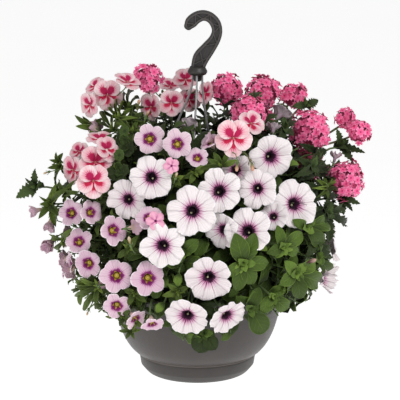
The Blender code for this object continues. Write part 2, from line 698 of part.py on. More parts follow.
def band(outline, low, high):
    """A flat plate of this outline between two depths."""
    shape = bmesh.new()
    corners = [shape.verts.new((point.x, low, HUB_TOP + point.z)) for point in outline]
    count = len(corners) // 2
    for k in range(count - 1):
        shape.faces.new((corners[k], corners[k + 1], corners[-k - 2], corners[-k - 1]))
    grown = bmesh.ops.extrude_face_region(shape, geom=list(shape.faces), use_keep_orig=True)["geom"]
    fresh = [item for item in grown if isinstance(item, bmesh.types.BMVert)]
    bmesh.ops.translate(shape, verts=fresh, vec=(0, high - low, 0))
    return shape


def hook_ribs():
    """The zigzag ribs that stiffen the web of the hook from edge to edge, with a cross at the hub."""
    edges = hook_edges(HOOK_BORDER * 0.5)
    count = len(edges) // 2
    right, left = edges[:count], edges[count:][::-1]
    pairs = [(right[1], left[6])]
    near, far = left, right
    for start in range(1, count - 5, 4):
        pairs.append((near[start], far[start + 5]))
        near, far = far, near
    ribs = []
    for low, high in pairs:
        across = Vector((low.z - high.z, 0, high.x - low.x)).normalized() * HOOK_RIB / 2
        ribs.append(band([low + across, high + across, high - across, low - across],
                         -HOOK_DEPTH / 2 + 0.0005, HOOK_DEPTH / 2 - 0.0005))
    return ribs


def build_hook():
    """The hub with its strand sockets, and the flat hook with a raised border and ribs on both faces."""
    hub = add_object("hook", turned([
        (0.0035, NECK_BOTTOM), (0.0052, HUB_BOTTOM), (0.0112, HUB_BOTTOM), (HUB_RADIUS, HUB_BOTTOM + 0.0028),
        (HUB_RADIUS, HUB_TOP - 0.0060), (0.0108, HUB_TOP - 0.0020), (0.0102, HUB_TOP),
    ], 14), "hanger_plastic")
    half = HOOK_DEPTH / 2
    plate = add_object("plate", band(hook_edges(0.0), -half, half), "hanger_plastic")
    recess = hook_edges(HOOK_BORDER)
    hollows = [
        add_object("hollow", band(recess, side * HOOK_WEB / 2, side * (half + 0.001)), "hanger_plastic")
        for side in (-1, 1)
    ]
    boolean(plate, hollows, "DIFFERENCE", "MANIFOLD")
    ribs = [add_object("rib", rib, "hanger_plastic") for rib in hook_ribs()]
    boolean(hub, [plate, *ribs], "UNION", "MANIFOLD")
    sockets = []
    for route in STRANDS.values():
        bearing, distance, top = route[0]
        sockets.append(add_object("socket", cylinder(
            STRAND_RADIUS + STRAND_CLEARANCE, polar(bearing, distance, HUB_BOTTOM - 0.004),
            polar(bearing, distance, top + GAP), 8), "hanger_plastic"))
    return boolean(hub, sockets, "DIFFERENCE", "MANIFOLD")


def build_strands():
    strands = []
    for name, route in STRANDS.items():
        points = smooth_route([polar(*spot) for spot in route], 2)
        strand = add_object(name, tube(points, (STRAND_RADIUS, STRAND_RADIUS), 5), "strand_plastic")
        foot = polar(*route[-1])
        barb = add_object("barb", ball(BARB_RADIUS, foot), "strand_plastic")
        strands.append(boolean(strand, [barb], "UNION"))
    return strands


def core_shape(plant):
    """A plant's close-grown inside: its share of a cone that stays within the three strands."""
    shape = bmesh.new()
    start, end = plant["from"], plant["to"]
    middle, half = math.radians((start + end) / 2), math.radians((end - start) / 2)
    aside = Vector((math.cos(middle), math.sin(middle), 0)) * GAP / math.sin(half)
    for radius, height in CORE_OUTLINE:
        for step in range(CORE_STEPS):
            shape.verts.new(polar(start + (end - start) * step / (CORE_STEPS - 1), radius, height) + aside)
        shape.verts.new(Vector((0, 0, height)) + aside)
    hull = bmesh.ops.convex_hull(shape, input=list(shape.verts))
    unused = hull["geom_interior"] + hull["geom_unused"]
    loose = {item for item in unused if isinstance(item, bmesh.types.BMVert)}
    bmesh.ops.delete(shape, geom=list(loose), context="VERTS")
    return shape


def core_tree(plant):
    shape = core_shape(plant)
    bmesh.ops.recalc_face_normals(shape, faces=shape.faces)
    tree = tree_of(shape)
    shape.free()
    return tree


def seats_on(name, core, point):
    """Places on the side and top of a plant's core for a stalk to a point, with the way out at each."""
    plant = PLANTS[name]
    middle = (plant["from"] + plant["to"]) / 2
    half = (plant["to"] - plant["from"]) / 2 - SEAT_MARGIN
    off = (math.degrees(math.atan2(point.y, point.x)) - middle + 180) % 360 - 180
    for turn, rise in SEAT_TRIES:
        bearing = middle + min(max(off + turn, -half), half)
        height = min(max(point.z - 0.02 + rise, SEAT_LOW), SEAT_HIGH)
        place, normal, _, _ = core.ray_cast(polar(bearing, 0.3, height), polar(bearing, -1.0, 0.0))
        yield place, normal
    for turn, distance in TOP_TRIES:
        place, normal, _, _ = core.ray_cast(polar(middle + turn, distance, 0.5), Vector((0, 0, -1)))
        if place:
            yield place, normal


def pedicel(start, leave, point, facing, radii, trees, owners, pieces=3):
    """A stalk from its seat to the back of a bloom, bent round what is in its way, and whether it is clear."""
    reach = (point - start).length
    sideways = (point - start).cross(Vector((0, 0, 1))).normalized()
    upwards = Vector((0, 0, 1))
    shape = None
    for aside, rise, high in BENDS:
        near = start + leave * 0.35 * reach + sideways * aside + upwards * rise
        far = point - facing * min(0.35 * reach, 0.040) + sideways * 0.7 * aside + upwards * high
        if shape:
            shape.free()
        shape = tube(bent(start, near, far, point, pieces), radii, 3)
        if is_clear(shape, trees, owners):
            return shape, True
    return shape, False


def stalked(name, ends, radii, plant, trees, core):
    """Stalks from one knuckle just off a plant's core to the backs of several blooms."""
    middle = sum((back for back, _ in ends), Vector()) / len(ends)
    best = None
    for place, normal in seats_on(plant, core, middle):
        seat = place + normal * (KNUCKLE + GAP)
        if not is_clear(knot(seat, KNUCKLE, normal), trees, (name, plant)):
            continue
        stalks = [pedicel(seat, normal, back, facing, radii, trees, (name,)) for back, facing in ends]
        clear = sum(good for _, good in stalks)
        if best is None or clear > best[0]:
            best = (clear, knot(seat, KNUCKLE, normal), [stalk for stalk, _ in stalks])
        if clear == len(ends):
            break
    if best[0] < len(ends):
        print("no clear way for a stalk of", name)
    return best[1:]


def build_spray(name, spots, form, plant, finish, trees, core):
    """Trumpets joined by their stalks, which meet in one knuckle just off the plant's core."""
    ends = [(point - facing * (form["tube"] * radius - 0.003), facing) for point, facing, radius in spots]
    knuckle, stalks = stalked(name, ends, (PEDICEL_RADIUS, 1.3 * PEDICEL_RADIUS), plant, trees, core)
    spray = add_object(name, knuckle, finish)
    parts = [*stalks, *(trumpet(*spot, form) for spot in spots)]
    return boolean(spray, [add_object("part", part, finish) for part in parts], "UNION", "MANIFOLD")


def build_truss(name, spots, trees, core):
    """An umbel: florets on short stalks that spread from the top of one stem."""
    ends = [(point - facing * (0.42 * radius - 0.002), facing) for point, facing, radius in spots]
    inwards = sum((facing for _, facing in ends), Vector()).normalized()
    umbel = sum((back for back, _ in ends), Vector()) / len(ends) - inwards * 0.022
    thick = (1.5 * PEDICEL_RADIUS, 1.5 * PEDICEL_RADIUS)
    knuckle, parts = stalked(name, [(umbel, inwards)], thick, "pelargonium_plant", trees, core)
    thin = (PEDICEL_RADIUS, PEDICEL_RADIUS)
    for back, facing in ends:
        stalk, clear = pedicel(umbel, inwards, back, facing, thin, trees, (name,), 2)
        parts.append(stalk)
        if not clear:
            print("no clear way for a floret's stalk of", name)
    parts.extend(floret(*spot) for spot in spots)
    parts.append(knot(umbel, KNUCKLE, inwards))
    finish = "pelargonium_petal"
    truss = add_object(name, knuckle, finish)
    return boolean(truss, [add_object("part", part, finish) for part in parts], "UNION", "MANIFOLD")


def shoot_of(plant, k, draw):
    """The route of a plant's leafy shoot, from inside its core out to the mound."""
    share = (k + 0.5) / plant["shoots"]
    bearing = plant["from"] + (plant["to"] - plant["from"]) * (0.15 + 0.70 * ((k * 0.618 + 0.31) % 1.0))
    height = 0.118 + 0.235 * share + draw.uniform(-0.02, 0.02)
    tip, facing = set_behind(bearing + draw.uniform(-9, 9), height, 0.3, draw.uniform(-20, -4))
    root_height = 0.150 + 0.080 * share
    root = polar(bearing, 0.035, root_height)
    leave = polar(bearing, 0.110, max(root_height + 0.030, 0.175))
    arrive = tip + Vector((0, 0, 0.030)) - facing * 0.030
    return bent(root, leave, arrive, tip, 4)


def leaves_of(route, kind, draw):
    """Root, tip, upper side and width of each leaf on a shoot, with a rosette at its tip."""
    length, slimness, _, _, count = LEAVES[kind]
    leaves = []
    spin = draw.uniform(0, TURN)
    for k in range(count):
        spot = (0.55 + 0.43 * k / (count - 1)) * (len(route) - 1)
        index = min(int(spot), len(route) - 2)
        root = route[index].lerp(route[index + 1], spot - index)
        along = (route[index + 1] - route[index]).normalized()
        turn = Matrix.Rotation(spin + k * 2.4, 3, along)
        opening = 0.95 if k < count - 2 else 0.60
        way = ((turn @ along.orthogonal().normalized()) * opening + along * (1.1 - opening)).normalized()
        size = length * draw.uniform(0.75, 1.1)
        leaves.append((root, root + way * size, along + Vector((0, 0, 0.4)), size * slimness))
    return leaves


def rosette_of(place, kind):
    """Centre, outward direction and leaves of a rosette that is set out on the grid."""
    column, row, stand_off, tips = place
    _, look, _ = sight(column, row)
    centre = on_mound(column, row, stand_off - 8)
    outwards = Vector((centre.x, centre.y, 0.3 * (centre.z - MOUND_WAIST))).normalized()
    leaves = []
    for tip_column, tip_row, width in tips:
        tip = on_mound(tip_column, tip_row, stand_off)
        leaves.append((centre, tip, outwards - look * 0.5, width * STEP))
    return centre, outwards, leaves


def leaf_shapes(leaves, kind, trees, owner, insist):
    """Blades for the leaves, each moved in or out a little until it is clear of the other pieces."""
    shapes = []
    for root, tip, up, width in leaves:
        for shift in (SHIFTS if insist else SHIFTS[:1]):
            shape = blade(root, tip + up.normalized() * shift, up, width, kind)
            if is_clear(shape, trees, (owner,)):
                shapes.append(shape)
                break
            shape.free()
        else:
            if insist:
                print("no room for a set-out leaf of", owner, [round(v, 3) for v in tip])
    return shapes


def build_plant(name, plant, stalks, trees, core, draw):
    """A plant's core, crown and leafy shoots, with the leaves that are clear of everything else."""
    kind = plant["leaf"]
    spot = crown_spot(plant)
    depth = Vector((0, 0, SOIL_HOLE_DEPTH - GAP))
    solids = [cylinder(CROWN_RADIUS, spot - depth, spot + Vector((0, 0, 0.02)), 6), *stalks]
    thick = (1.3 * SHOOT_RADIUS, SHOOT_RADIUS)
    for place in ROSETTES.get(name, ()):
        centre, outwards, leaves = rosette_of(place, kind)
        for seat, normal in seats_on(name, core, centre):
            stem, clear = pedicel(seat - normal * 0.006, normal, centre, outwards, thick, trees, (name,))
            if clear:
                break
        else:
            print("no clear way for the stem of a rosette of", name, place[:2])
        solids.append(stem)
        solids.append(knot(centre, 1.5 * SHOOT_RADIUS, outwards))
        solids.extend(leaf_shapes(leaves, kind, trees, name, True))
    for k in range(plant["shoots"]):
        for _ in range(SHOOT_TRIES):
            route = shoot_of(plant, k, draw)
            stem = tube(route, (1.3 * SHOOT_RADIUS, 0.7 * SHOOT_RADIUS), 3)
            if is_clear(stem, trees, (name,)):
                solids.append(stem)
                solids.extend(leaf_shapes(leaves_of(route, kind, draw), kind, trees, name, False))
                break
        else:
            print("left out a shoot of", name)
    whole = add_object(name, core_shape(plant), "leaf")
    return boolean(whole, [add_object("shoot", shape, "leaf") for shape in solids], "UNION", "MANIFOLD")


def build_stalk(name, spot, trees, core):
    """A verbena stalk from inside the core to just under its head."""
    point, facing, radius = spot
    under = point - facing * ((0.45 + HEAD_FOOT) * radius + STALK_GAP)
    thick = (1.5 * PEDICEL_RADIUS, 0.7 * PEDICEL_RADIUS)
    for place, normal in seats_on("verbena_plant", core, under):
        stalk, clear = pedicel(
            place - normal * 0.006, normal, under, facing, thick, trees, ("verbena_plant", name))
        if clear:
            return stalk
    print("no clear way for the stalk of", name)
    return stalk


def spray_plans():
    """Every spray of trumpets: its name, blooms, form, plant and finish."""
    groups = (
        (PETUNIA_SPRAYS, False, PETUNIA_FORM, "petunia_plant", "petunia_petal"),
        (PETUNIA_BACK, True, PETUNIA_FORM, "petunia_plant_behind", "petunia_petal"),
        (CALIBRACHOA_SPRAYS, False, CALIBRACHOA_FORM, "calibrachoa_plant", "calibrachoa_petal"),
        (CALIBRACHOA_BACK, True, CALIBRACHOA_FORM, "calibrachoa_plant", "calibrachoa_petal"),
    )
    for table, behind, form, plant, finish in groups:
        for name, rows in table.items():
            yield name, placed((), rows) if behind else placed(rows), form, plant, finish


def main():
    clear_scene()
    standing = [build_bowl(), build_saucer(), build_soil(), build_hook(), *build_strands()]
    trees = {item.name: [mesh_tree(item)] for item in standing}
    cores = {name: core_tree(plant) for name, plant in PLANTS.items()}
    sprays = list(spray_plans())
    trusses = {name: placed(rows) for name, rows in TRUSSES.items()}
    trusses.update({name: placed((), rows) for name, rows in TRUSSES_BACK.items()})
    heads = {name: placed((row,))[0] for name, row in HEADS.items()}
    heads.update({name: placed((), (row,))[0] for name, row in HEADS_BACK.items()})
    trees.update({name: [core] for name, core in cores.items()})
    for name, spots, form, _, _ in sprays:
        trees[name] = [tree_of(trumpet(*spot, form)) for spot in spots]
    for name, spots in trusses.items():
        trees[name] = [tree_of(floret(*spot)) for spot in spots]
    for k, (name, spot) in enumerate(heads.items()):
        shape = ball_of_stars(*spot, 0.7 * k)
        trees[name] = [tree_of(shape)]
        standing.append(add_object(name, shape, "verbena_petal"))
    for name, spots, form, plant, finish in sprays:
        spray = build_spray(name, spots, form, plant, finish, trees, cores[plant])
        trees[name] = [mesh_tree(spray)]
        standing.append(spray)
    for name, spots in trusses.items():
        truss = build_truss(name, spots, trees, cores["pelargonium_plant"])
        trees[name] = [mesh_tree(truss)]
        standing.append(truss)
    draw = random.Random(SHOOT_SEED)
    stalks = [build_stalk(name, spot, trees, cores["verbena_plant"]) for name, spot in heads.items()]
    for name, plant in reversed(PLANTS.items()):
        own_stalks = stalks if name == "verbena_plant" else []
        grown = build_plant(name, plant, own_stalks, trees, cores[name], draw)
        trees[name] = [mesh_tree(grown)]
        standing.append(grown)
    origin = bpy.data.objects.new("hanging_basket", None)
    bpy.context.scene.collection.objects.link(origin)
    origin.location = (-HOOK_SEAT[0], 0.0, -HOOK_SEAT[1])
    for item in standing:
        item.parent = origin


main()
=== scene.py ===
"""The looks of a flowering hanging basket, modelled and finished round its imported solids.

Everything is laid out from the middle of the foot, with -Y towards the viewer, in metres. Each finished
piece is then moved to the foot's place in the frame, whose origin is the seat inside the hook.
"""

import math
import random

import bmesh
import bpy
from mathutils import Matrix, Vector, noise
from mathutils.bvhtree import BVHTree


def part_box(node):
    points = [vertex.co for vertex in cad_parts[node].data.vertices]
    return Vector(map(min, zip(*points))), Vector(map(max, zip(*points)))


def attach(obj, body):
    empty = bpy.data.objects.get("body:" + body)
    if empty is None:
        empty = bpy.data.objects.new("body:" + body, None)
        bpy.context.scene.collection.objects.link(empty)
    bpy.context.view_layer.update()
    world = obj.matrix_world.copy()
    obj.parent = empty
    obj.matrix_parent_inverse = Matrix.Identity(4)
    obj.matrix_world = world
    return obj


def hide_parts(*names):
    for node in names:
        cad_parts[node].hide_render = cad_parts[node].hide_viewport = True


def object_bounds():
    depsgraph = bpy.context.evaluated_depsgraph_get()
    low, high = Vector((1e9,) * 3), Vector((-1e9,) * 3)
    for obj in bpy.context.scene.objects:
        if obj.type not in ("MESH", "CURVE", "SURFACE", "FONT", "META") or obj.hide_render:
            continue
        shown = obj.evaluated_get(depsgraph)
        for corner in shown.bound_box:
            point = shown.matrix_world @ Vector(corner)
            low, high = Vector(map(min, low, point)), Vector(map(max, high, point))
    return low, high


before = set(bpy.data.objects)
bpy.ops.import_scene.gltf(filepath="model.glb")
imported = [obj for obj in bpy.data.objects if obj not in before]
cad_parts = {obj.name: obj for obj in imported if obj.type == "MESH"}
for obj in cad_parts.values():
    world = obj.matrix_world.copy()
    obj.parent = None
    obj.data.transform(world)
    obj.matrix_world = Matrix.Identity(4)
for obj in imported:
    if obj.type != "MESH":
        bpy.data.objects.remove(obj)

bl_info = {
    "name": "Flowering hanging basket",
    "version": (1, 0, 0),
    "blender": (4, 5, 0),
    "location": "View3D > Sidebar > Basket",
    "description": "Models and finishes a hanging basket of summer flowers round its packed solids",
    "category": "Add Mesh",
}

CAD_LOW, CAD_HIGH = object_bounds()
SAUCER_LOW, SAUCER_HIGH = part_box("drip_saucer")
FOOT = Vector(((SAUCER_LOW.x + SAUCER_HIGH.x) / 2, (SAUCER_LOW.y + SAUCER_HIGH.y) / 2, SAUCER_LOW.z))
TURN = 2 * math.pi
MERGE = 1e-6
GOLDEN_TURN = math.radians(137.5)

# Bowl, saucer and soil: radius and height of each point of the turned outlines
RIM_RADIUS = 0.125
RIM_TOP = 0.130
SAUCER_RADIUS = 0.081
SAUCER_HEIGHT = 0.028
BOWL_FOOT = (
    (0.056, 0.0075), (0.070, 0.0165), (0.0790, 0.0262), (0.0814, 0.0281), (0.0824, 0.0285),
    (0.0828, 0.0291), (0.0826, 0.0297),
)
BOWL_WALL_OUTSIDE = (
    (0.0822, 0.0302), (0.0838, 0.0312), (0.0885, 0.0335), (0.0975, 0.0440), (0.1065, 0.0620),
    (0.1140, 0.0880), (0.1205, 0.1230),
)
BOWL_RIM = (
    (RIM_RADIUS - 0.0008, 0.1236), (RIM_RADIUS, 0.1244), (RIM_RADIUS, RIM_TOP - 0.0006),
    (RIM_RADIUS - 0.0006, RIM_TOP), (0.1199, RIM_TOP), (0.1193, RIM_TOP - 0.0006),
)
BOWL_WALL_INSIDE = (
    (0.1160, 0.1055), (0.1080, 0.0755), (0.0950, 0.0465), (0.0765, 0.0300), (0.0680, 0.0195),
    (0.0550, 0.0105),
)
SAUCER_OUTSIDE = ((0.0600, 0.0), (0.0700, 0.0030), (0.0790, 0.0130))
SAUCER_LIP = (
    (SAUCER_RADIUS, SAUCER_HEIGHT - 0.0026), (SAUCER_RADIUS, SAUCER_HEIGHT - 0.0006),
    (SAUCER_RADIUS - 0.0005, SAUCER_HEIGHT), (SAUCER_RADIUS - 0.0015, SAUCER_HEIGHT),
    (SAUCER_RADIUS - 0.0020, SAUCER_HEIGHT - 0.0006),
)
SAUCER_INSIDE = ((0.0770, 0.0138), (0.0685, 0.0048), (0.0590, 0.0022))
WALL_STEPS = 5
POT_SEGMENTS = 96
# A painted highlight makes the bowl's foot pale outside this radius and below this height, and the saucer's
# lip too
HIGHLIGHT_RADIUS = 0.0805
HIGHLIGHT_TOP = 0.0335
LIP_HIGHLIGHT_DEPTH = 0.0010
SOIL_TOP = 0.1160
SOIL_RADIUS = 0.1168
SOIL_RINGS = 18
SOIL_SEGMENTS = 72
LUG_RADIUS = 0.0062
LUG_TOP = 0.1250
LUG_THICKNESS = 0.0030
LUG_PLAY = 0.0004

# Hanger: hub, hook and the three strands
HUB_TOP = 0.431
HUB_RADIUS = 0.0134
HUB_BOTTOM = 0.4195
NECK_BOTTOM = 0.4105
HUB_OUTLINE = (
    (0.0042, NECK_BOTTOM), (0.0050, NECK_BOTTOM + 0.0008), (0.0056, HUB_BOTTOM), (0.0108, HUB_BOTTOM),
    (0.0118, HUB_BOTTOM + 0.0008), (HUB_RADIUS, HUB_BOTTOM + 0.0034), (HUB_RADIUS, HUB_TOP - 0.0062),
    (HUB_RADIUS - 0.0006, HUB_TOP - 0.0050), (0.0112, HUB_TOP - 0.0022), (0.0102, HUB_TOP),
)
STRAND_RADIUS = 0.0015
BARB_RADIUS = 0.0030
# Each strand's route as bearing in degrees, distance from the axis and height
STRANDS = {
    "strand_left": (
        (150, 0.0080, 0.4225), (150, 0.0080, 0.4100), (150, 0.0135, 0.3900), (149, 0.0410, 0.3320),
        (148, 0.0700, 0.2650), (147, 0.0980, 0.1950), (146, 0.1123, 0.1500), (146, 0.1125, 0.1330),
        (146, 0.1125, 0.1190),
    ),
    "strand_front": (
        (263, 0.0080, 0.4225), (263, 0.0080, 0.4100), (263, 0.0130, 0.3900), (263, 0.0390, 0.3330),
        (264, 0.0680, 0.2650), (265, 0.0970, 0.1950), (266, 0.1123, 0.1500), (266, 0.1125, 0.1330),
        (266, 0.1125, 0.1190),
    ),
    "strand_right": (
        (35, 0.0080, 0.4225), (35, 0.0080, 0.4100), (48, 0.0115, 0.3900), (60, 0.0330, 0.3320),
        (50, 0.0640, 0.2650), (37, 0.0960, 0.1950), (26, 0.1123, 0.1500), (26, 0.1125, 0.1330),
        (26, 0.1125, 0.1190),
    ),
}
# The hook's middle line from the hub to the tip: across, height above the hub, and width of the band
HOOK_STATIONS = (
    (0.0006, -0.0070, 0.0185), (0.0012, 0.0010, 0.0195), (0.0052, 0.0122, 0.0215), (0.0142, 0.0240, 0.0188),
    (0.0232, 0.0368, 0.0152), (0.0266, 0.0485, 0.0142), (0.0240, 0.0592, 0.0142), (0.0168, 0.0670, 0.0134),
    (0.0075, 0.0696, 0.0138), (-0.0018, 0.0664, 0.0156), (-0.0090, 0.0600, 0.0162), (-0.0132, 0.0545, 0.0110),
)
HOOK_DEPTH = 0.0090
HOOK_BORDER = 0.0036
HOOK_WEB = 0.0030
HOOK_RIB = 0.0012
HOOK_PIECES = 6
HOOK_CORNERS = 12
HOOK_TIP_ANGLES = (20, 40, 58, 74, 90)
# The ribs' tone, a painted highlight on them
RIB_HIGHLIGHT = 0.82

# The setting-out grid: columns right of the axis and rows above the foot, seen from the viewing point
STEP = 0.00138
TARGET = Vector((0.0, 0.0, 0.250))
TARGET_ROW = 174
SIGHT_DISTANCE = 3.0
SIGHT_TILT = math.radians(12.5)
PICTURE_STEPS = 400
TARGET_OFF = (2.5, 4.0)
RIGHT = Vector((1, 0, 0))
FORWARD = Vector((0.0, math.cos(SIGHT_TILT), -math.sin(SIGHT_TILT)))
UPWARDS = Vector((0.0, math.sin(SIGHT_TILT), math.cos(SIGHT_TILT)))
EYE = TARGET - FORWARD * SIGHT_DISTANCE
SEARCH_STEP = 0.001
SEARCH_STEPS = 250
# Lamps: name, place from the middle of the view, width, and share of the main lamp's power
LAMPS = (("key_light", (0.9, -1.5, 1.5), 1.1, 1.0), ("fill_light", (-1.7, -1.3, 0.5), 1.4, 0.35))
# The mound's half-widths across and deep, the height of its waist and top, and how far it draws in
MOUND_ACROSS = 0.190
MOUND_DEEP = 0.172
MOUND_WAIST = 0.205
MOUND_TOP = 0.400
MOUND_DRAWN_IN = 0.16

# The petunia sprays in order. Each bloom: column, row, width in steps, how far it leans right and up, and
# its stand-off in millimetres
PETUNIA_SPRAYS = (
    ((-47, 192, 45, -0.05, 0.0, 12), (-71, 170, 42, -0.35, -0.05, -10)),
    ((-5, 159, 50, 0.0, 0.05, 10), (22, 179, 46, 0.0, 0.05, 0)),
    ((38, 200, 38, -0.05, 0.0, -20), (60, 181, 40, 0.1, 0.0, 4)),
    ((99, 166, 50, 0.4, 0.0, 2), (76, 154, 30, 0.0, 0.2, -6)),
    ((75, 213, 46, 0.5, -0.1, 2),),
    ((51, 139, 48, 0.0, -0.05, 6), (24, 139, 38, -0.5, -0.15, -12)),
    ((-35, 123, 46, -0.05, -0.2, 10),),
    ((11, 91, 48, 0.05, -0.3, 6),),
    ((-11, 52, 46, -0.1, -0.35, 10), (31, 52, 42, 0.4, -0.3, 4)),
)
CALIBRACHOA_SPRAYS = (
    ((-48, 231, 32, -0.05, 0.0, 4), (-20, 226, 30, 0.1, 0.05, 4)),
    ((-127, 157, 28, -0.3, 0.0, 2), (-106, 158, 26, 0.45, 0.35, -4)),
    ((-83, 140, 31, 0.5, 0.0, 5), (-49, 153, 26, 0.0, 0.55, 2)),
    ((-119, 129, 28, -0.3, 0.15, 2), (-110, 106, 30, -0.35, -0.1, 2),
     (-128, 108, 24, -0.93, -0.1, -4)),
    ((-81, 94, 34, -0.15, -0.1, 2), (-49, 91, 35, 0.0, -0.05, -2)),
    ((-81, 63, 29, -0.15, -0.1, 6), (-61, 50, 24, 0.6, -0.4, 2),
     (-45, 44, 24, 0.3, -0.7, 4)),
    ((-163, 159, 15, -0.85, -0.35, 0), (-148, 126, 18, -0.5, -0.6, 0),
     (-147, 144, 16, -0.3, -0.85, 0)),
    ((0, 213, 24, 0.1, 0.5, -8), (12, 229, 22, -0.45, 0.65, -8)),
)
# Sprays round the back: bearing in degrees, height, width in steps, lean up and stand-off in millimetres
PETUNIA_BACK = (
    ((338, 0.150, 44, 0.1, 0), (352, 0.190, 42, 0.1, 0)),
    ((60, 0.180, 46, 0.0, 0), (82, 0.225, 46, 0.1, 4)),
    ((76, 0.130, 44, -0.1, 0), (100, 0.165, 46, -0.1, 4)),
    ((112, 0.225, 44, 0.1, 0),),
)
CALIBRACHOA_BACK = (
    ((178, 0.150, 30, 0.0, 0), (166, 0.185, 30, 0.1, 0)),
    ((148, 0.150, 30, 0.0, 0), (136, 0.185, 30, 0.1, 0), (130, 0.130, 28, 0.0, 0)),
)
# Each pelargonium truss: column, row, width, lean right, lean up and stand-off of its florets
TRUSSES = (
    ((-90, 275, 32, -0.15, 0.05, 12), (-70, 289, 28, 0.2, 0.85, 0),
     (-108, 265, 26, -0.75, -0.05, 0), (-103, 284, 24, -0.5, 0.7, 0)),
    ((-104, 189, 34, 0.0, -0.1, 18), (-102, 208, 33, 0.0, 0.2, 12),
     (-125, 200, 30, -0.75, 0.0, 4), (-90, 221, 27, 0.45, 0.45, 6),
     (-98, 232, 28, 0.0, 0.9, 2), (-119, 219, 22, -0.5, 0.5, 2)),
    ((-26, 267, 27, 0.05, 0.0, -70), (-47, 263, 28, -0.6, 0.0, -70),
     (-46, 283, 18, -0.1, 0.35, -70), (-27, 285, 24, 0.0, 0.85, -50)),
    ((36, 232, 37, 0.05, 0.05, 14), (54, 247, 28, 0.35, 0.55, 6)),
    ((-8, 270, 25, 0.2, 0.05, -122), (-12, 291, 26, 0.0, 0.5, -50),
     (8, 277, 25, 0.75, -0.1, -80)),
)
TRUSSES_BACK = (
    ((122, 0.300, 34, 0.3, 6), (132, 0.285, 30, 0.3, 6), (116, 0.272, 30, 0.2, 6)),
)
# Each verbena head's one row: column, row, width, lean right, lean up and stand-off
HEADS = (
    ((-51, 296, 30, -0.1, 0.7, -30),),
    ((29, 284, 35, 0.0, 0.6, -30),),
    ((67, 282, 36, 0.1, 0.6, 0),),
    ((51, 260, 34, 0.1, 0.4, 0),),
    ((99, 277, 28, 0.4, 0.6, -20),),
    ((114, 241, 42, 0.3, 0.2, 0),),
    ((148, 254, 22, 0.1, 0.5, -16),),
    ((164, 240, 25, 0.6, 0.4, 10),),
    ((151, 190, 41, 0.5, 0.0, 0),),
)
HEADS_BACK = (
    ((48, 0.345, 34, 0.6, 6),),
    ((22, 0.285, 36, 0.3, 0),),
    ((38, 0.225, 36, 0.1, 6),),
)
# The five plants: the bearings that each one fills, its leaf, and how many shoots it sends to the mound
PLANTS = {
    "petunia_plant": {"from": 242, "to": 340, "leaf": "petunia", "shoots": 104},
    "calibrachoa_plant": {"from": 150, "to": 242, "leaf": "calibrachoa", "shoots": 130},
    "pelargonium_plant": {"from": 105, "to": 150, "leaf": "pelargonium", "shoots": 60},
    "petunia_plant_behind": {"from": 55, "to": 105, "leaf": "petunia", "shoots": 66},
    "verbena_plant": {"from": -20, "to": 55, "leaf": "verbena", "shoots": 104},
}
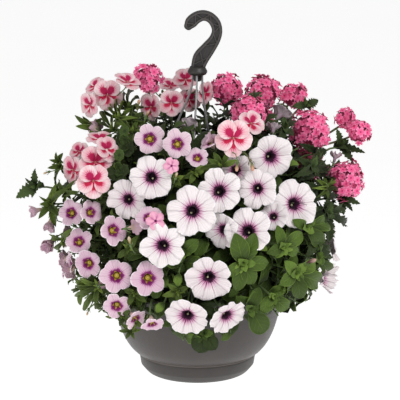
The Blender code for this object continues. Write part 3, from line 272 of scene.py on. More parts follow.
# Leaf rosettes seen in front: place, stand-off, kind and the painted light of its leaves, then each leaf's
# tip and width
ROSETTES = {
    "petunia_plant": (
        (45, 107, 8, "petunia", 0.84, (
            (38, 136, 19), (58, 136, 15), (71, 107, 15), (56, 86, 16), (39, 79, 15), (27, 95, 12),
        )),
        (84, 123, 9, "petunia", 0.84, ((80, 144, 11), (105, 137, 14), (101, 117, 11), (70, 117, 11))),
        (107, 143, 6, "petunia", 0.80, ((131, 149, 16), (124, 125, 16), (96, 150, 10))),
        (97, 97, 10, "petunia", 0.78, (
            (122, 88, 19), (118, 108, 13), (103, 71, 16), (83, 86, 14), (88, 108, 12),
        )),
        (118, 112, 0, "petunia", 0.66, ((131, 98, 13), (128, 122, 12), (112, 98, 11))),
        (52, 62, -4, "petunia", 0.50, ((67, 37, 21), (62, 82, 13))),
        (74, 74, 0, "petunia", 0.72, ((90, 60, 15), (64, 58, 14))),
        (7, 38, -8, "petunia", 0.20, ((1, 17, 20), (18, 20, 15), (-6, 28, 10))),
        (-14, 118, -2, "petunia", 0.66, ((0, 130, 13), (-24, 106, 10))),
        (24, 203, -4, "calibrachoa", 0.86, (
            (10, 211, 6), (16, 218, 6), (31, 219, 5), (39, 210, 6), (2, 202, 7),
        )),
        (-3, 196, -6, "calibrachoa", 0.76, ((8, 204, 8), (-14, 192, 6), (-8, 186, 6))),
        (-22, 190, -2, "calibrachoa", 0.84, (
            (-30, 193, 3), (-28, 187, 4), (-14, 194, 5), (-16, 184, 5), (-22, 198, 4),
        )),
    ),
    "calibrachoa_plant": (
        (-143, 166, 4, "calibrachoa", 0.90, (
            (-146, 180, 8), (-141, 187, 8), (-127, 183, 8), (-135, 185, 7), (-158, 173, 4), (-158, 166, 6),
            (-159, 152, 7), (-143, 144, 7), (-132, 152, 7),
        )),
        (-130, 176, -4, "calibrachoa", 0.72, ((-138, 190, 6), (-122, 190, 6), (-120, 178, 6))),
        (-136, 203, -4, "calibrachoa", 0.72, (
            (-150, 202, 5), (-146, 206, 4), (-143, 197, 4), (-128, 194, 5),
        )),
        (-138, 208, -4, "calibrachoa", 0.72, ((-142, 217, 5), (-148, 210, 4), (-135, 217, 5))),
        (-98, 84, 4, "calibrachoa", 0.98, (
            (-118, 92, 5), (-123, 84, 4), (-121, 73, 7), (-113, 59, 5), (-102, 66, 5),
        )),
        (-112, 84, 2, "calibrachoa", 0.86, ((-126, 78, 4), (-118, 64, 5), (-122, 90, 4))),
        (-73, 54, 0, "calibrachoa", 0.60, (
            (-84, 52, 4), (-80, 58, 4), (-78, 44, 5), (-62, 44, 6), (-68, 60, 6),
        )),
        (-62, 50, 2, "calibrachoa", 0.88, ((-72, 42, 5), (-64, 38, 4), (-54, 42, 5), (-70, 52, 5))),
        (-19, 79, -4, "calibrachoa", 0.84, ((-35, 74, 6), (-30, 86, 5), (-8, 84, 5), (-18, 64, 6))),
        (-68, 122, -6, "calibrachoa", 0.74, ((-60, 134, 7), (-56, 116, 7), (-80, 112, 6))),
        (-132, 130, -6, "calibrachoa", 0.80, ((-146, 134, 6), (-138, 118, 6), (-124, 142, 7))),
        (-102, 241, -8, "calibrachoa", 0.70, ((-123, 255, 6), (-122, 244, 6), (-115, 254, 6), (-96, 252, 6))),
        (-96, 76, -8, "calibrachoa", 0.36, ((-84, 84, 5), (-106, 78, 5), (-92, 66, 5))),
        (-62, 78, -4, "calibrachoa", 0.74, ((-70, 64, 6), (-52, 68, 6), (-74, 80, 6))),
        (-66, 40, 0, "calibrachoa", 0.84, (
            (-77, 47, 4), (-79, 39, 4), (-72, 31, 4), (-63, 31, 4), (-57, 40, 4), (-72, 51, 4), (-61, 49, 5),
        )),
    ),
    "pelargonium_plant": (
        (-160, 183, 0, "verbena", 0.95, ((-181, 173, 13), (-163, 201, 8), (-172, 191, 5))),
        (-78, 250, -16, "calibrachoa", 0.78, (
            (-86, 266, 4), (-78, 271, 4), (-70, 267, 4), (-64, 262, 4), (-92, 258, 4), (-60, 252, 5),
            (-70, 242, 5),
        )),
        (-64, 236, -18, "calibrachoa", 0.74, ((-72, 250, 5), (-60, 250, 5), (-54, 240, 5), (-66, 222, 6))),
        (-68, 260, -24, "calibrachoa", 0.55, (
            (-72, 277, 4), (-64, 280, 4), (-58, 272, 4), (-77, 271, 4), (-54, 263, 5), (-80, 262, 5),
        )),
        (-84, 240, -18, "calibrachoa", 0.66, (
            (-94, 250, 5), (-90, 258, 4), (-80, 256, 5), (-74, 248, 5), (-96, 236, 6),
        )),
        (-66, 246, -26, "calibrachoa", 0.45, (
            (-74, 258, 5), (-62, 264, 4), (-54, 258, 5), (-50, 246, 6), (-58, 238, 6),
        )),
        (-92, 226, -12, "calibrachoa", 0.50, ((-104, 232, 7), (-98, 218, 8), (-84, 222, 8), (-86, 236, 6))),
        (-72, 226, -10, "pelargonium", 0.55, ((-78, 239, 14), (-64, 214, 15))),
        (-78, 200, -14, "pelargonium", 0.34, ((-86, 190, 20), (-70, 192, 18))),
    ),
    "verbena_plant": (
        (128, 156, 2, "verbena", 0.66, ((150, 145, 9), (131, 126, 11), (146, 165, 8), (119, 146, 9))),
        (118, 130, 0, "verbena", 0.62, ((127, 101, 15), (131, 114, 11), (108, 112, 9))),
        (127, 182, 2, "calibrachoa", 0.90, (
            (119, 191, 4), (126, 193, 4), (134, 191, 4), (137, 181, 4), (121, 173, 4), (131, 171, 4),
            (117, 182, 4),
        )),
        (141, 223, -6, "verbena", 0.66, ((156, 208, 9), (167, 218, 8), (140, 241, 8), (151, 230, 9))),
        (108, 264, -6, "verbena", 0.78, ((121, 270, 10), (95, 264, 9))),
        (54, 267, 16, "verbena", 0.96, ((47, 275, 6), (57, 279, 7), (65, 272, 6))),
        (141, 172, -4, "verbena", 0.62, ((155, 160, 8), (162, 167, 8), (147, 156, 8))),
        (112, 202, -6, "verbena", 0.60, ((100, 212, 9), (121, 214, 9), (98, 194, 9), (126, 200, 9))),
        (84, 240, -14, "verbena", 0.60, ((72, 250, 8), (94, 252, 8), (80, 226, 8), (98, 236, 8))),
        (116, 216, -10, "verbena", 0.56, ((104, 226, 8), (130, 220, 9), (110, 204, 9))),
        (134, 198, -8, "verbena", 0.52, ((122, 206, 8), (142, 210, 8), (128, 188, 8))),
        (120, 178, -14, "verbena", 0.35, (
            (108, 188, 9), (133, 188, 9), (110, 166, 9), (135, 170, 9), (121, 194, 8),
        )),
        (125, 160, -12, "verbena", 0.35, ((113, 152, 9), (138, 153, 9), (136, 168, 8), (126, 146, 9))),
        (114, 198, -16, "verbena", 0.30, ((104, 208, 9), (127, 207, 9), (102, 190, 9), (129, 194, 8))),
    ),
}
# Blooms that stand only in the finish: column, row, width in steps, how far each faces right, up and
# towards the viewer, stand-off, and how far it is closed
LOOSE_BLOOMS = {
    "petunia": (
        (84, 257, 26, 0.45, 0.55, -0.55, -16, 0.10), (76, 243, 18, 0.10, 0.75, -0.35, -14, 0.30),
        (-8, 246, 22, -0.2, 0.60, -0.55, -62, 0.20), (104, 170, 22, 0.85, 0.25, 0.10, -8, 0.50),
        (138, 214, 17, 0.2, 0.80, -0.30, -10, 0.55),
    ),
    "calibrachoa": (
        (-150, 124, 18, -0.60, -0.45, 0.50, 2, 0.90), (-134, 112, 20, -0.75, 0.10, -0.45, -4, 0.20),
        (-128, 99, 20, -0.55, -0.40, -0.50, -4, 0.25), (-148, 146, 15, -0.25, -0.90, -0.10, 0, 0.70),
        (-62, 143, 20, 0.55, 0.10, -0.40, -8, 0.30), (-102, 243, 20, -0.25, 0.30, -0.70, -12, 0.30),
        (-95, 86, 16, 0.30, 0.10, -0.60, -6, 0.60), (10, 231, 20, -0.75, 0.35, 0.25, -8, 0.35),
    ),
}
# Calibrachoas that have just opened, still creased, in the same order, and how far they are closed
FRESH_BLOOMS = ((-26, 204, 18, 0.15, 0.20, 0.90, 24, 0.15), (-42, 149, 21, 0.10, -0.15, 0.90, 16, 0.15))
# Buds: column, row, the way each points right, up and towards the viewer, length in steps and stand-off
BUDS = {
    "petunia": ((108, 107, 0.9, 0.30, 0.35, 12, 10),),
    "calibrachoa": (
        (-67, 125, -0.2, 0.95, 0.3, 9, 8), (-141, 155, 0.3, 0.75, 0.6, 7, 8),
        (-149, 198, -0.9, -0.30, 0.3, 6, 2), (-109, 60, -0.3, -0.90, 0.3, 6, 4),
        (-22, 192, 0.2, 0.8, 0.6, 7, 8),
    ),
    "pelargonium": (
        (40, 208, -0.1, -0.95, 0.4, 10, 16), (53, 209, 0.25, -0.90, 0.4, 11, 14),
        (-60, 262, 0.2, 0.95, 0.1, 9, -14), (-52, 252, 0.4, 0.90, 0.1, 8, -16),
    ),
}
# The outline that leaves keep inside, on the grid, as seen from the front
LEAF_OUTLINE = (
    (-112, 60), (-128, 78), (-140, 110), (-158, 135), (-176, 172), (-182, 192), (-158, 206), (-146, 222),
    (-124, 256), (-104, 268), (-80, 278), (-30, 288), (18, 280), (62, 276), (95, 276), (122, 278), (140, 262),
    (160, 242), (170, 224), (166, 180), (148, 146), (134, 104), (124, 82), (104, 62), (74, 44), (44, 34),
    (18, 20), (-6, 18), (-34, 40), (-58, 44), (-84, 50),
)
# Trumpet forms as shares of the radius, and the corners that draw them
PETUNIA_FORM = {
    "tube": 0.95, "throat": 0.185, "dish": 0.24, "lobe": 0.62, "curl": 0.09, "ruffle": 0.085, "uneven": 0.14,
    "split": 0.15, "around": 60, "along": 14,
}
CALIBRACHOA_FORM = {
    "tube": 1.05, "throat": 0.225, "dish": 0.24, "lobe": 0.50, "curl": 0.08, "ruffle": 0.050, "uneven": 0.11,
    "split": 0.10, "around": 50, "along": 11,
}
FRESH_FORM = {
    **CALIBRACHOA_FORM, "throat": 0.06, "dish": -0.12, "lobe": 0.43, "curl": 0.22, "ruffle": 0.10,
    "uneven": 0.20, "split": 0.02,
}
# The share of a trumpet's grid that is its tube, the tube's own radius at the calyx, and the lobes' skew
TUBE_SHARE = 0.22
TUBE_FOOT = 0.075
LOBE_SKEW = 0.09
# A spray's blooms narrower than this many steps hang half open, and are drawn larger but shut to a cup
HALF_OPEN_STEPS = 20
HALF_OPEN_CUP = 0.75
HALF_OPEN_GROWTH = 1.25
# From this cup on no pistil shows, and the cup of the first petunia behind, which is seen from its side
SHUT_CUP = 0.80
CUP_FOR_SIDE_BLOOM = 0.60
STALK_RADIUS = 0.0011
# Where a stalk ends inside its plant: how far below its bloom, between which heights, how far from the axis,
# and how many degrees from the sides of its plant
STALK_DROP = 0.035
STALK_END_LOWEST = 0.125
STALK_END_HIGHEST = 0.26
STALK_END_DISTANCE = (0.040, 0.070)
STALK_SIDE_ROOM = 4
# A verbena head: how often its florets cover it, how far down they reach, and the share that lies sunk and is
# painted in shade
HEAD_COVER = 1.75
HEAD_LOWEST = -0.30
SUNK_SHARE = 0.22
# Leaf forms: length, width as a share of it, widest place, bluntness, teeth, fold, arch and wave, its grids,
# and how far apart its leaves stand on a stem
LEAVES = {
    "petunia": {"length": 0.034, "slim": 0.66, "widest": 0.56, "blunt": 0.62, "teeth": 0, "fold": 0.16,
                "arch": 0.15, "wave": 0.035, "fine": (6, 10), "coarse": (4, 4), "spacing": 0.0125},
    "calibrachoa": {"length": 0.024, "slim": 0.34, "widest": 0.50, "blunt": 0.80, "teeth": 0, "fold": 0.20,
                    "arch": 0.14, "wave": 0.02, "fine": (4, 8), "coarse": (2, 4), "spacing": 0.0085},
    "verbena": {"length": 0.038, "slim": 0.46, "widest": 0.42, "blunt": 0.70, "teeth": 8, "fold": 0.20,
                "arch": 0.14, "wave": 0.03, "fine": (4, 16), "coarse": (2, 6), "spacing": 0.0205},
    "pelargonium": {"length": 0.030, "slim": 0.95, "widest": 0.50, "blunt": 0.60, "teeth": 9, "fold": 0.0,
                    "arch": 0.08, "wave": 0.05, "fine": (36, 4), "coarse": (18, 2), "spacing": 0.018},
    "sepal": {"length": 0.012, "widest": 0.40, "blunt": 0.80, "teeth": 0, "fold": 0.10, "arch": 0.12,
              "wave": 0.0, "coarse": (2, 3)},
}
LEAF_KINDS = ("petunia", "calibrachoa", "verbena", "pelargonium")
LEAF_VARIANTS = 6
LEAF_MARGIN = 0.004
# A point deeper than this beside the axis hides no bloom; for the others, how far behind them one is sought
FRONT_FROM = 0.02
HIDING_DEPTH = 0.05
# The blooms and strands made so far, as search trees that the leaves keep clear of
BLOOM_TREES = []
# Shoots: how far the crowns stand from the axis, the heights of the shoots' tips, the millimetres that these
# may lie inside the mound, and how the bearings are shared out
CROWN_DISTANCE = 0.058
SHOOT_LOWEST = 0.095
SHOOT_RISE = 0.275
SHOOT_STAND_OFF = (-42, -12)
GOLDEN_SHARE = 0.618
FIRST_SHARE = 0.31
# How many millimetres the middle of a rosette lies under its leaves' tips
ROSETTE_SINK = 8
STEM_FINISH = len(LEAF_KINDS)
# Colours that the finishes lay over those that the panel shows, in linear colour
TINTS = {
    "compost_grain": (0.42, 0.38, 0.32),
    "petunia_rim": (0.96, 0.94, 0.94),
    "petunia_vein_and_crease_shade": (0.38, 0.22, 0.32),
    "petunia_halo": (0.66, 0.21, 0.44),
    "petunia_fringe": (0.23, 0.014, 0.125),
    "petunia_depths": (0.030, 0.004, 0.018),
    "calibrachoa_shade": (0.64, 0.38, 0.52),
    "calibrachoa_pale": (0.78, 0.66, 0.70),
    "calibrachoa_rim": (0.92, 0.82, 0.86),
    "calibrachoa_vein": (0.50, 0.18, 0.38),
    "calibrachoa_glow": (0.66, 0.12, 0.46),
    "calibrachoa_depths": (0.55, 0.38, 0.05),
    "fresh_pink": (0.820, 0.340, 0.510),
    "fresh_pale": (0.93, 0.60, 0.68),
    "fresh_crease": (0.360, 0.040, 0.210),
    "pelargonium_pale": (0.88, 0.70, 0.71),
    "pelargonium_rim": (0.94, 0.85, 0.86),
    "pelargonium_stain": (0.80, 0.20, 0.33),
    "pelargonium_upper": (0.46, 0.004, 0.080),
    "pelargonium_depths": (0.70, 0.30, 0.32),
    "verbena_tip_highlight": (1.0, 0.34, 0.56),
    "verbena_eye": (0.40, 0.015, 0.10),
}
# Each kind of bud: its colour at the calyx and at its tip
BUD_COLOURS = {
    "petunia_bud": ((0.090, 0.020, 0.030), (0.50, 0.32, 0.26)),
    "calibrachoa_bud": ((0.42, 0.30, 0.12), (0.72, 0.58, 0.42)),
    "pelargonium_bud": ((0.16, 0.20, 0.05), (0.72, 0.36, 0.26)),
}


def settings():
    return bpy.context.scene.basket


def swung(angle, distance, height):
    """A point at an angle round the upright axis."""
    return Vector((distance * math.cos(angle), distance * math.sin(angle), height))


def polar(bearing, distance, height):
    """A point at a bearing in degrees."""
    return swung(math.radians(bearing), distance, height)


def upright(height):
    """A step straight up."""
    return Vector((0, 0, height))


def scaled(colour, factor):
    """A colour made darker or lighter."""
    return [min(share * factor, 1.0) for share in colour]


def drawn(draw, count, low, high):
    """Some numbers drawn between two."""
    return [draw.uniform(low, high) for _ in range(count)]


def chance(draw, spread):
    """A small push to any side."""
    return Vector(drawn(draw, 3, -spread, spread))


def sight(column, row):
    """The direction from the viewing point through a place on the setting-out grid."""
    place = TARGET + RIGHT * column * STEP + UPWARDS * (row - TARGET_ROW) * STEP
    return (place - EYE).normalized()


def seen_at(point):
    """The column and row of the setting-out grid where a point is seen."""
    off = point - EYE
    scale = SIGHT_DISTANCE / off.dot(FORWARD) / STEP
    return off.x * scale, off.dot(UPWARDS) * scale + TARGET_ROW


def inside(place, outline):
    """Whether a place on the grid lies inside a closed outline."""
    column, row = place
    crossings = 0
    for (a, b), (c, d) in zip(outline, [*outline[1:], outline[0]]):
        if (b > row) != (d > row) and column < a + (c - a) * (row - b) / (d - b):
            crossings += 1
    return crossings % 2 == 1


def girth(height):
    """The share of the mound's full width that it has at a height."""
    if height > MOUND_WAIST:
        return math.sqrt(max(1 - ((height - MOUND_WAIST) / (MOUND_TOP - MOUND_WAIST)) ** 2, 0.0))
    return 1 - MOUND_DRAWN_IN * ((MOUND_WAIST - height) / MOUND_WAIST) ** 2


def on_mound(column, row, stand_off):
    """Where the line of sight through a place on the grid meets the mound, or passes nearest to it."""
    look = sight(column, row)
    nearest = None
    for step in range(2 * SEARCH_STEPS):
        point = EYE + look * (SIGHT_DISTANCE + SEARCH_STEP * (step - SEARCH_STEPS))
        outside = math.hypot(point.x / MOUND_ACROSS, point.y / MOUND_DEEP) - girth(point.z)
        if nearest is None or outside < nearest[0]:
            nearest = (outside, point)
        if outside <= 0:
            break
    return nearest[1] - look * stand_off / 1000


def set_out(column, row, lean_right, lean_up, stand_off):
    """Where a bloom set out on the grid stands on the mound, and the way that it faces."""
    facing = -sight(column, row) * math.sqrt(1 - lean_right**2 - lean_up**2)
    facing = facing + RIGHT * lean_right + UPWARDS * lean_up
    return on_mound(column, row, stand_off), facing.normalized()


def set_behind(bearing, height, lean_up, stand_off):
    """Where a bloom at this bearing and height stands on the mound, and the way that it faces."""
    outwards = polar(bearing, 1.0, 0.0)
    share = girth(height)
    point = Vector((outwards.x * MOUND_ACROSS * share, outwards.y * MOUND_DEEP * share, height))
    facing = (outwards + Vector((0, 0, lean_up))).normalized()
    return point + facing * stand_off / 1000, facing


def clusters(stem, front, back):
    """Every spray, truss or head in order: its node, its rows, the point, facing and radius of each of its
    blooms, and whether it is set out behind.
    """
    for number, rows in enumerate((*front, *back), start=1):
        behind = number > len(front)
        place = set_behind if behind else set_out
        spots = [(*place(*row[:2], *row[3:]), row[2] * STEP / 2) for row in rows]
        yield f"{stem}_{number}", rows, spots, behind


def facing_matrix(point, facing):
    """Turns a bloom's own +Z to its facing, at its place."""
    return Matrix.Translation(point) @ facing.to_track_quat("Z", "Y").to_matrix().to_4x4()


def lying_matrix(root, along, up, length, width):
    """Places a leaf of unit length and width: root to tip along X, its upper side towards up."""
    along = along.normalized()
    up = (up - along * up.dot(along)).normalized()
    side = up.cross(along)
    turn = Matrix((along, side, up)).transposed().to_4x4()
    return Matrix.Translation(root) @ turn @ Matrix.Diagonal((length, width, length, 1.0))


def smooth_route(points, pieces):
    """Points along a smooth curve through the route's own points."""
    ends = [points[0], *points, points[-1]]
    route = []
    for a, b, c, d in zip(ends, ends[1:], ends[2:], ends[3:]):
        for step in range(pieces):
            t = step / pieces
            bow = (2 * a - 5 * b + 4 * c - d) * t**2 + (3 * b - a - 3 * c + d) * t**3
            route.append(0.5 * (2 * b + (c - a) * t + bow))
    return [*route, points[-1]]


def bent(start, leave, arrive, end, pieces):
    """Points along a curve that leaves start towards leave and comes to end from arrive."""
    route = []
    for step in range(pieces + 1):
        t = step / pieces
        route.append(
            start * (1 - t) ** 3 + leave * 3 * t * (1 - t) ** 2 + arrive * 3 * t**2 * (1 - t) + end * t**3
        )
    return route


def ease(value, low, high):
    """A smooth step from 0 at low to 1 at high."""
    share = min(max((value - low) / (high - low), 0.0), 1.0)
    return share * share * (3 - 2 * share)


def blank():
    """An empty shape with what every piece carries: its form as a UV map, and its tone."""
    shape = bmesh.new()
    shape.loops.layers.uv.new("form")
    shape.verts.layers.float.new("tone")
    return shape


def kept(shape, name):
    """A shape as a mesh. The shape is used up."""
    mesh = bpy.data.meshes.new(name)
    shape.to_mesh(mesh)
    shape.free()
    return mesh


class Bench:
    """Gathers the shapes of one piece."""

    def __init__(self):
        self.whole = bmesh.new()

    def take(self, carrier):
        """Adds a mesh, which is used up."""
        self.whole.from_mesh(carrier)
        bpy.data.meshes.remove(carrier)

    def add(self, shape, matrix=None):
        """Adds a shape, which is used up."""
        if matrix:
            shape.transform(matrix)
        self.take(kept(shape, "carrier"))

    def stamp(self, pattern, matrix, tone):
        """Adds a copy of a kept mesh."""
        carrier = pattern.copy()
        carrier.transform(matrix)
        carrier.attributes["tone"].data.foreach_set("value", [tone] * len(carrier.vertices))
        self.take(carrier)

    def tree(self):
        return BVHTree.FromBMesh(self.whole)

    def piece(self, name, finishes, slot, *nodes):
        """Makes the piece, moves it to the foot's place and has it ride and stand for its nodes."""
        self.whole.transform(Matrix.Translation(FOOT))
        mesh = kept(self.whole, name)
        for finish in finishes:
            mesh.materials.append(finish)
        made = bpy.data.objects.new(name, mesh)
        bpy.context.scene.collection.objects.link(made)
        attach(made, "root")
        if nodes:
            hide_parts(*nodes)


def sheet(across, along, form, thickness=0.0, tone=0.5, front=0, back=0):
    """A piece from a grid: form(u, v) places each corner, and u and v stay as its UV map."""
    shape = blank()
    uv, shade = shape.loops.layers.uv["form"], shape.verts.layers.float["tone"]
    bmesh.ops.create_grid(shape, x_segments=across, y_segments=along, size=0.5)
    for face in shape.faces:
        face.smooth = True
        face.material_index = front
        for loop in face.loops:
            loop[uv].uv = (loop.vert.co.x + 0.5, loop.vert.co.y + 0.5)
    for corner in shape.verts:
        u, v = corner.co.x + 0.5, corner.co.y + 0.5
        corner[shade] = tone(u, v) if callable(tone) else tone
        corner.co = form(u, v)
    bmesh.ops.remove_doubles(shape, verts=shape.verts, dist=MERGE)
    shape.normal_update()
    if thickness:
        faces = set(shape.faces)
        bmesh.ops.solidify(shape, geom=shape.faces[:], thickness=thickness)
        for face in shape.faces:
            if face not in faces:
                face.material_index = back
                face.smooth = True
    bmesh.ops.recalc_face_normals(shape, faces=shape.faces)
    return shape


def tube(route, radii, sides, front=0):
    """A closed tube along a route, whose radius runs evenly from the first to the last."""
    route = [route[0], *route, route[-1]]
    last = len(route) - 1
    rings = []
    side = None
    for index, point in enumerate(route):
        before, after = route[max(index - 2, 0)], route[min(index + 2, last)]
        along = (after - before).normalized()
        side = along.orthogonal() if side is None else side - along * side.dot(along)
        side.normalize()
        radius = radii[0] + (radii[1] - radii[0]) * index / last
        rings.append((point, side.copy(), along.cross(side), 0.0 if index in (0, last) else radius))

    def form(u, v):
        point, one, other, radius = rings[round(v * last)]
        return point + radius * (one * math.cos(TURN * u) + other * math.sin(TURN * u))

    return sheet(sides, last, form, front=front)


def bead(middle, radius, long=1.0, front=0, around=8, way=upright(1)):
    """A round or drawn-out bead."""

    def form(u, v):
        return swung(TURN * u, math.sin(math.pi * v) * radius, -math.cos(math.pi * v) * radius * long)

    shape = sheet(around, around // 2 + 1, form, front=front)
    shape.transform(facing_matrix(middle, way))
    return shape


class Finish:
    """A procedural material, whose nodes are added one call at a time."""

    def __init__(self, name, roughness, sheen=0.0, specular=0.5):
        self.material = bpy.data.materials.new(name)
        self.material.use_nodes = True
        self.tree = self.material.node_tree
        self.shader = self.tree.nodes["Principled BSDF"]
        self.shader.inputs["Roughness"].default_value = roughness
        self.shader.inputs["Sheen Weight"].default_value = sheen
        self.shader.inputs["Specular IOR Level"].default_value = specular

    def node(self, kind, inputs, **choices):
        made = self.tree.nodes.new("ShaderNode" + kind)
        for choice, value in choices.items():
            setattr(made, choice, value)
        for place, value in inputs.items():
            if isinstance(value, bpy.types.NodeSocket):
                self.tree.links.new(value, made.inputs[place])
            else:
                made.inputs[place].default_value = value
        return made

    def math(self, operation, *values):
        return self.node("Math", dict(enumerate(values)), operation=operation).outputs[0]

    def times(self, first, second):
        return self.math("MULTIPLY", first, second)

    def plus(self, first, second):
        return self.math("ADD", first, second)

    def most(self, first, second):
        return self.math("MAXIMUM", first, second)

    def linear(self, value, factor, offset):
        """A value times a factor, plus an offset."""
        return self.math("MULTIPLY_ADD", value, factor, offset)

    def off_middle(self, share):
        """How far a share is from a half."""
        return self.math("ABSOLUTE", self.math("SUBTRACT", share, 0.5))

    def ease(self, value, low, high):
        """A smooth step from 0 at low to 1 at high, which may run downwards."""
        if low < high:
            inputs = {0: value, 1: low, 2: high, 3: 0.0, 4: 1.0}
        else:
            inputs = {0: value, 1: high, 2: low, 3: 1.0, 4: 0.0}
        return self.node("MapRange", inputs, interpolation_type="SMOOTHSTEP").outputs[0]

    def mix(self, share, first, second):
        """Two colours mixed, each a socket or three numbers."""
        inputs = {0: share}
        for place, colour in ((6, first), (7, second)):
            inputs[place] = colour if isinstance(colour, bpy.types.NodeSocket) else (*colour[:3], 1.0)
        return self.node("Mix", inputs, data_type="RGBA").outputs[2]

    def here(self):
        """The object's own coordinates."""
        return self.node("TexCoord", {}).outputs["Object"]

    def noise(self, scale, detail=3.0):
        inputs = {"Vector": self.here(), "Scale": scale, "Detail": detail}
        return self.node("TexNoise", inputs).outputs[0]

    def form(self):
        """The two shares along a sheet that its UV map keeps."""
        split = self.node("SeparateXYZ", {0: self.node("UVMap", {}, uv_map="form").outputs[0]})
        return split.outputs[0], split.outputs[1]

    def tone(self):
        return self.node("Attribute", {}, attribute_name="tone").outputs["Fac"]

    def lines(self, value, count, width):
        """Thin lines where value times count is a whole number, 1 on the line."""
        wave = self.math("FRACT", self.linear(value, float(count), 0.5))
        return self.ease(self.off_middle(wave), width, 0.0)

    def paint(self, base, *layers):
        """Lays each layer's colour over the base by its share, and gives the result to the shader."""
        for share, colour in layers:
            base = self.mix(share, base, colour)
        self.tree.links.new(base, self.shader.inputs["Base Color"])

    def roughness(self, socket):
        self.tree.links.new(socket, self.shader.inputs["Roughness"])

    def bump(self, height, distance, strength=1.0):
        inputs = {"Height": height, "Distance": distance, "Strength": strength}
        self.tree.links.new(self.node("Bump", inputs).outputs[0], self.shader.inputs["Normal"])


def moulded(name, colour, roughness, grain):
    """Moulded plastic: faint mottling, a fine grain, a little dust, and a painted highlight, paler where the
    tone marks an edge that catches the light.
    """
    finish = Finish(name, roughness)
    mottle = finish.ease(finish.noise(38.0, 4.0), 0.3, 0.7)
    finish.paint(
        scaled(colour, 0.88),
        (mottle, scaled(colour, 1.12)),
        (finish.times(finish.ease(finish.noise(170.0, 5.0), 0.62, 0.80), 0.25), scaled(colour, 1.7)),
        # Painted highlight where the tone is high
        (finish.ease(finish.tone(), 0.6, 1.0), scaled(colour, 2.6)),
    )
    finish.roughness(finish.linear(mottle, 0.10, roughness - 0.05))
    finish.bump(finish.noise(grain, 2.0), 0.00012)
    return finish.material


def earthy(name, colour):
    """Potting compost: dark crumbs and fibres with a few pale grains."""
    finish = Finish(name, 0.95)
    crumbs = finish.node("TexVoronoi", {"Vector": finish.here(), "Scale": 260.0}).outputs["Distance"]
    grains = finish.ease(finish.noise(420.0, 2.0), 0.70, 0.74)
    finish.paint(scaled(colour, 0.45), (crumbs, scaled(colour, 1.9)), (grains, TINTS["compost_grain"]))
    finish.bump(crumbs, 0.0015)
    return finish.material


def petunia_front(white, blush, throat):
    """Near white, with lilac veins and painted shade along its creases, and a ragged purple fringe round a
    dark throat.
    """
    finish = Finish("petunia_petal_front", 0.66, sheen=0.06, specular=0.25)
    around, outwards = finish.form()
    patch = finish.noise(60.0, 3.0)
    wobble = finish.linear(finish.noise(130.0, 3.0), 0.08, -0.04)
    angle = finish.plus(around, finish.times(wobble, 0.30))
    creases = finish.most(finish.lines(angle, 5, 0.040), finish.lines(finish.plus(angle, 0.1), 5, 0.034))
    fine = finish.lines(angle, 45, 0.34)
    spikes = finish.lines(angle, 20, 0.42)
    strength = finish.linear(finish.ease(outwards, 0.85, 0.30), 0.34, finish.times(patch, 0.22))
    # Painted shade along the lobe creases, mixed with the lilac of the fine veins
    vein_and_crease_shade = finish.times(finish.most(creases, finish.times(fine, 0.35)), strength)
    streak = finish.linear(fine, -0.09, finish.linear(creases, -0.12, outwards))
    streak = finish.plus(streak, finish.linear(finish.noise(45.0, 1.0), 0.16, -0.06))
    streak = finish.linear(spikes, -0.050, streak)
    core = finish.plus(finish.linear(finish.lines(angle, 5, 0.5), -0.060, outwards), wobble)
    core = finish.linear(spikes, -0.035, core)
    finish.paint(
        white,
        (finish.times(finish.tone(), 0.6), blush),
        (finish.times(patch, 0.40), blush),
        (finish.ease(outwards, 0.94, 0.985), TINTS["petunia_rim"]),
        (vein_and_crease_shade, TINTS["petunia_vein_and_crease_shade"]),
        (finish.times(finish.ease(streak, 0.52, 0.24), 0.85), TINTS["petunia_halo"]),
        (finish.times(finish.ease(streak, 0.350, 0.225), 0.94), TINTS["petunia_fringe"]),
        (finish.ease(core, 0.262, 0.200), throat),
        (finish.ease(outwards, 0.16, 0.04), TINTS["petunia_depths"]),
    )
    finish.bump(finish.times(finish.most(creases, finish.times(fine, 0.4)), -1.0), 0.0010, 0.9)
    return finish.material


def petal_back(name, pale, dark, veins):
    """The back of a petal: duller, with darker veins and tube."""
    finish = Finish(name, 0.65, sheen=0.15)
    around, outwards = finish.form()
    lines = finish.lines(around, veins, 0.18)
    tube_share = finish.ease(outwards, 0.42, 0.12)
    finish.paint(pale, (finish.times(tube_share, 0.7), dark), (finish.times(lines, 0.45), dark))
    finish.bump(lines, 0.0003, 0.5)
    return finish.material


def calibrachoa_front(pink, ring, eye):
    """Lilac pink with a ragged magenta ring round a yellow star."""
    finish = Finish("calibrachoa_petal_front", 0.62, sheen=0.08, specular=0.3)
    around, outwards = finish.form()
    between = finish.plus(around, 0.1)
    wobble = finish.linear(finish.noise(190.0, 3.0), 0.10, -0.05)
    thin = finish.lines(between, 5, 0.05)
    fine = finish.lines(around, 30, 0.30)
    star = finish.plus(finish.linear(finish.lines(around, 5, 0.30), -0.07, outwards), wobble)
    star = finish.linear(fine, -0.08, star)
    eye_star = finish.plus(finish.linear(finish.lines(between, 5, 0.30), -0.10, outwards), wobble)
    finish.paint(
        pink,
        (finish.times(finish.tone(), 0.65), TINTS["calibrachoa_shade"]),
        (finish.times(finish.noise(80.0, 2.0), 0.35), TINTS["calibrachoa_pale"]),
        (finish.ease(outwards, 0.90, 0.98), TINTS["calibrachoa_rim"]),
        (finish.most(finish.times(thin, 0.35), finish.times(fine, 0.14)), TINTS["calibrachoa_vein"]),
        (finish.times(finish.ease(star, 0.56, 0.28), 0.62), TINTS["calibrachoa_glow"]),
        (finish.ease(star, 0.420, 0.310), ring),
        (finish.ease(eye_star, 0.215, 0.150), eye),
        (finish.ease(outwards, 0.12, 0.04), TINTS["calibrachoa_depths"]),
    )
    finish.bump(finish.times(finish.most(thin, finish.times(fine, 0.4)), -1.0), 0.0005, 0.7)
    return finish.material


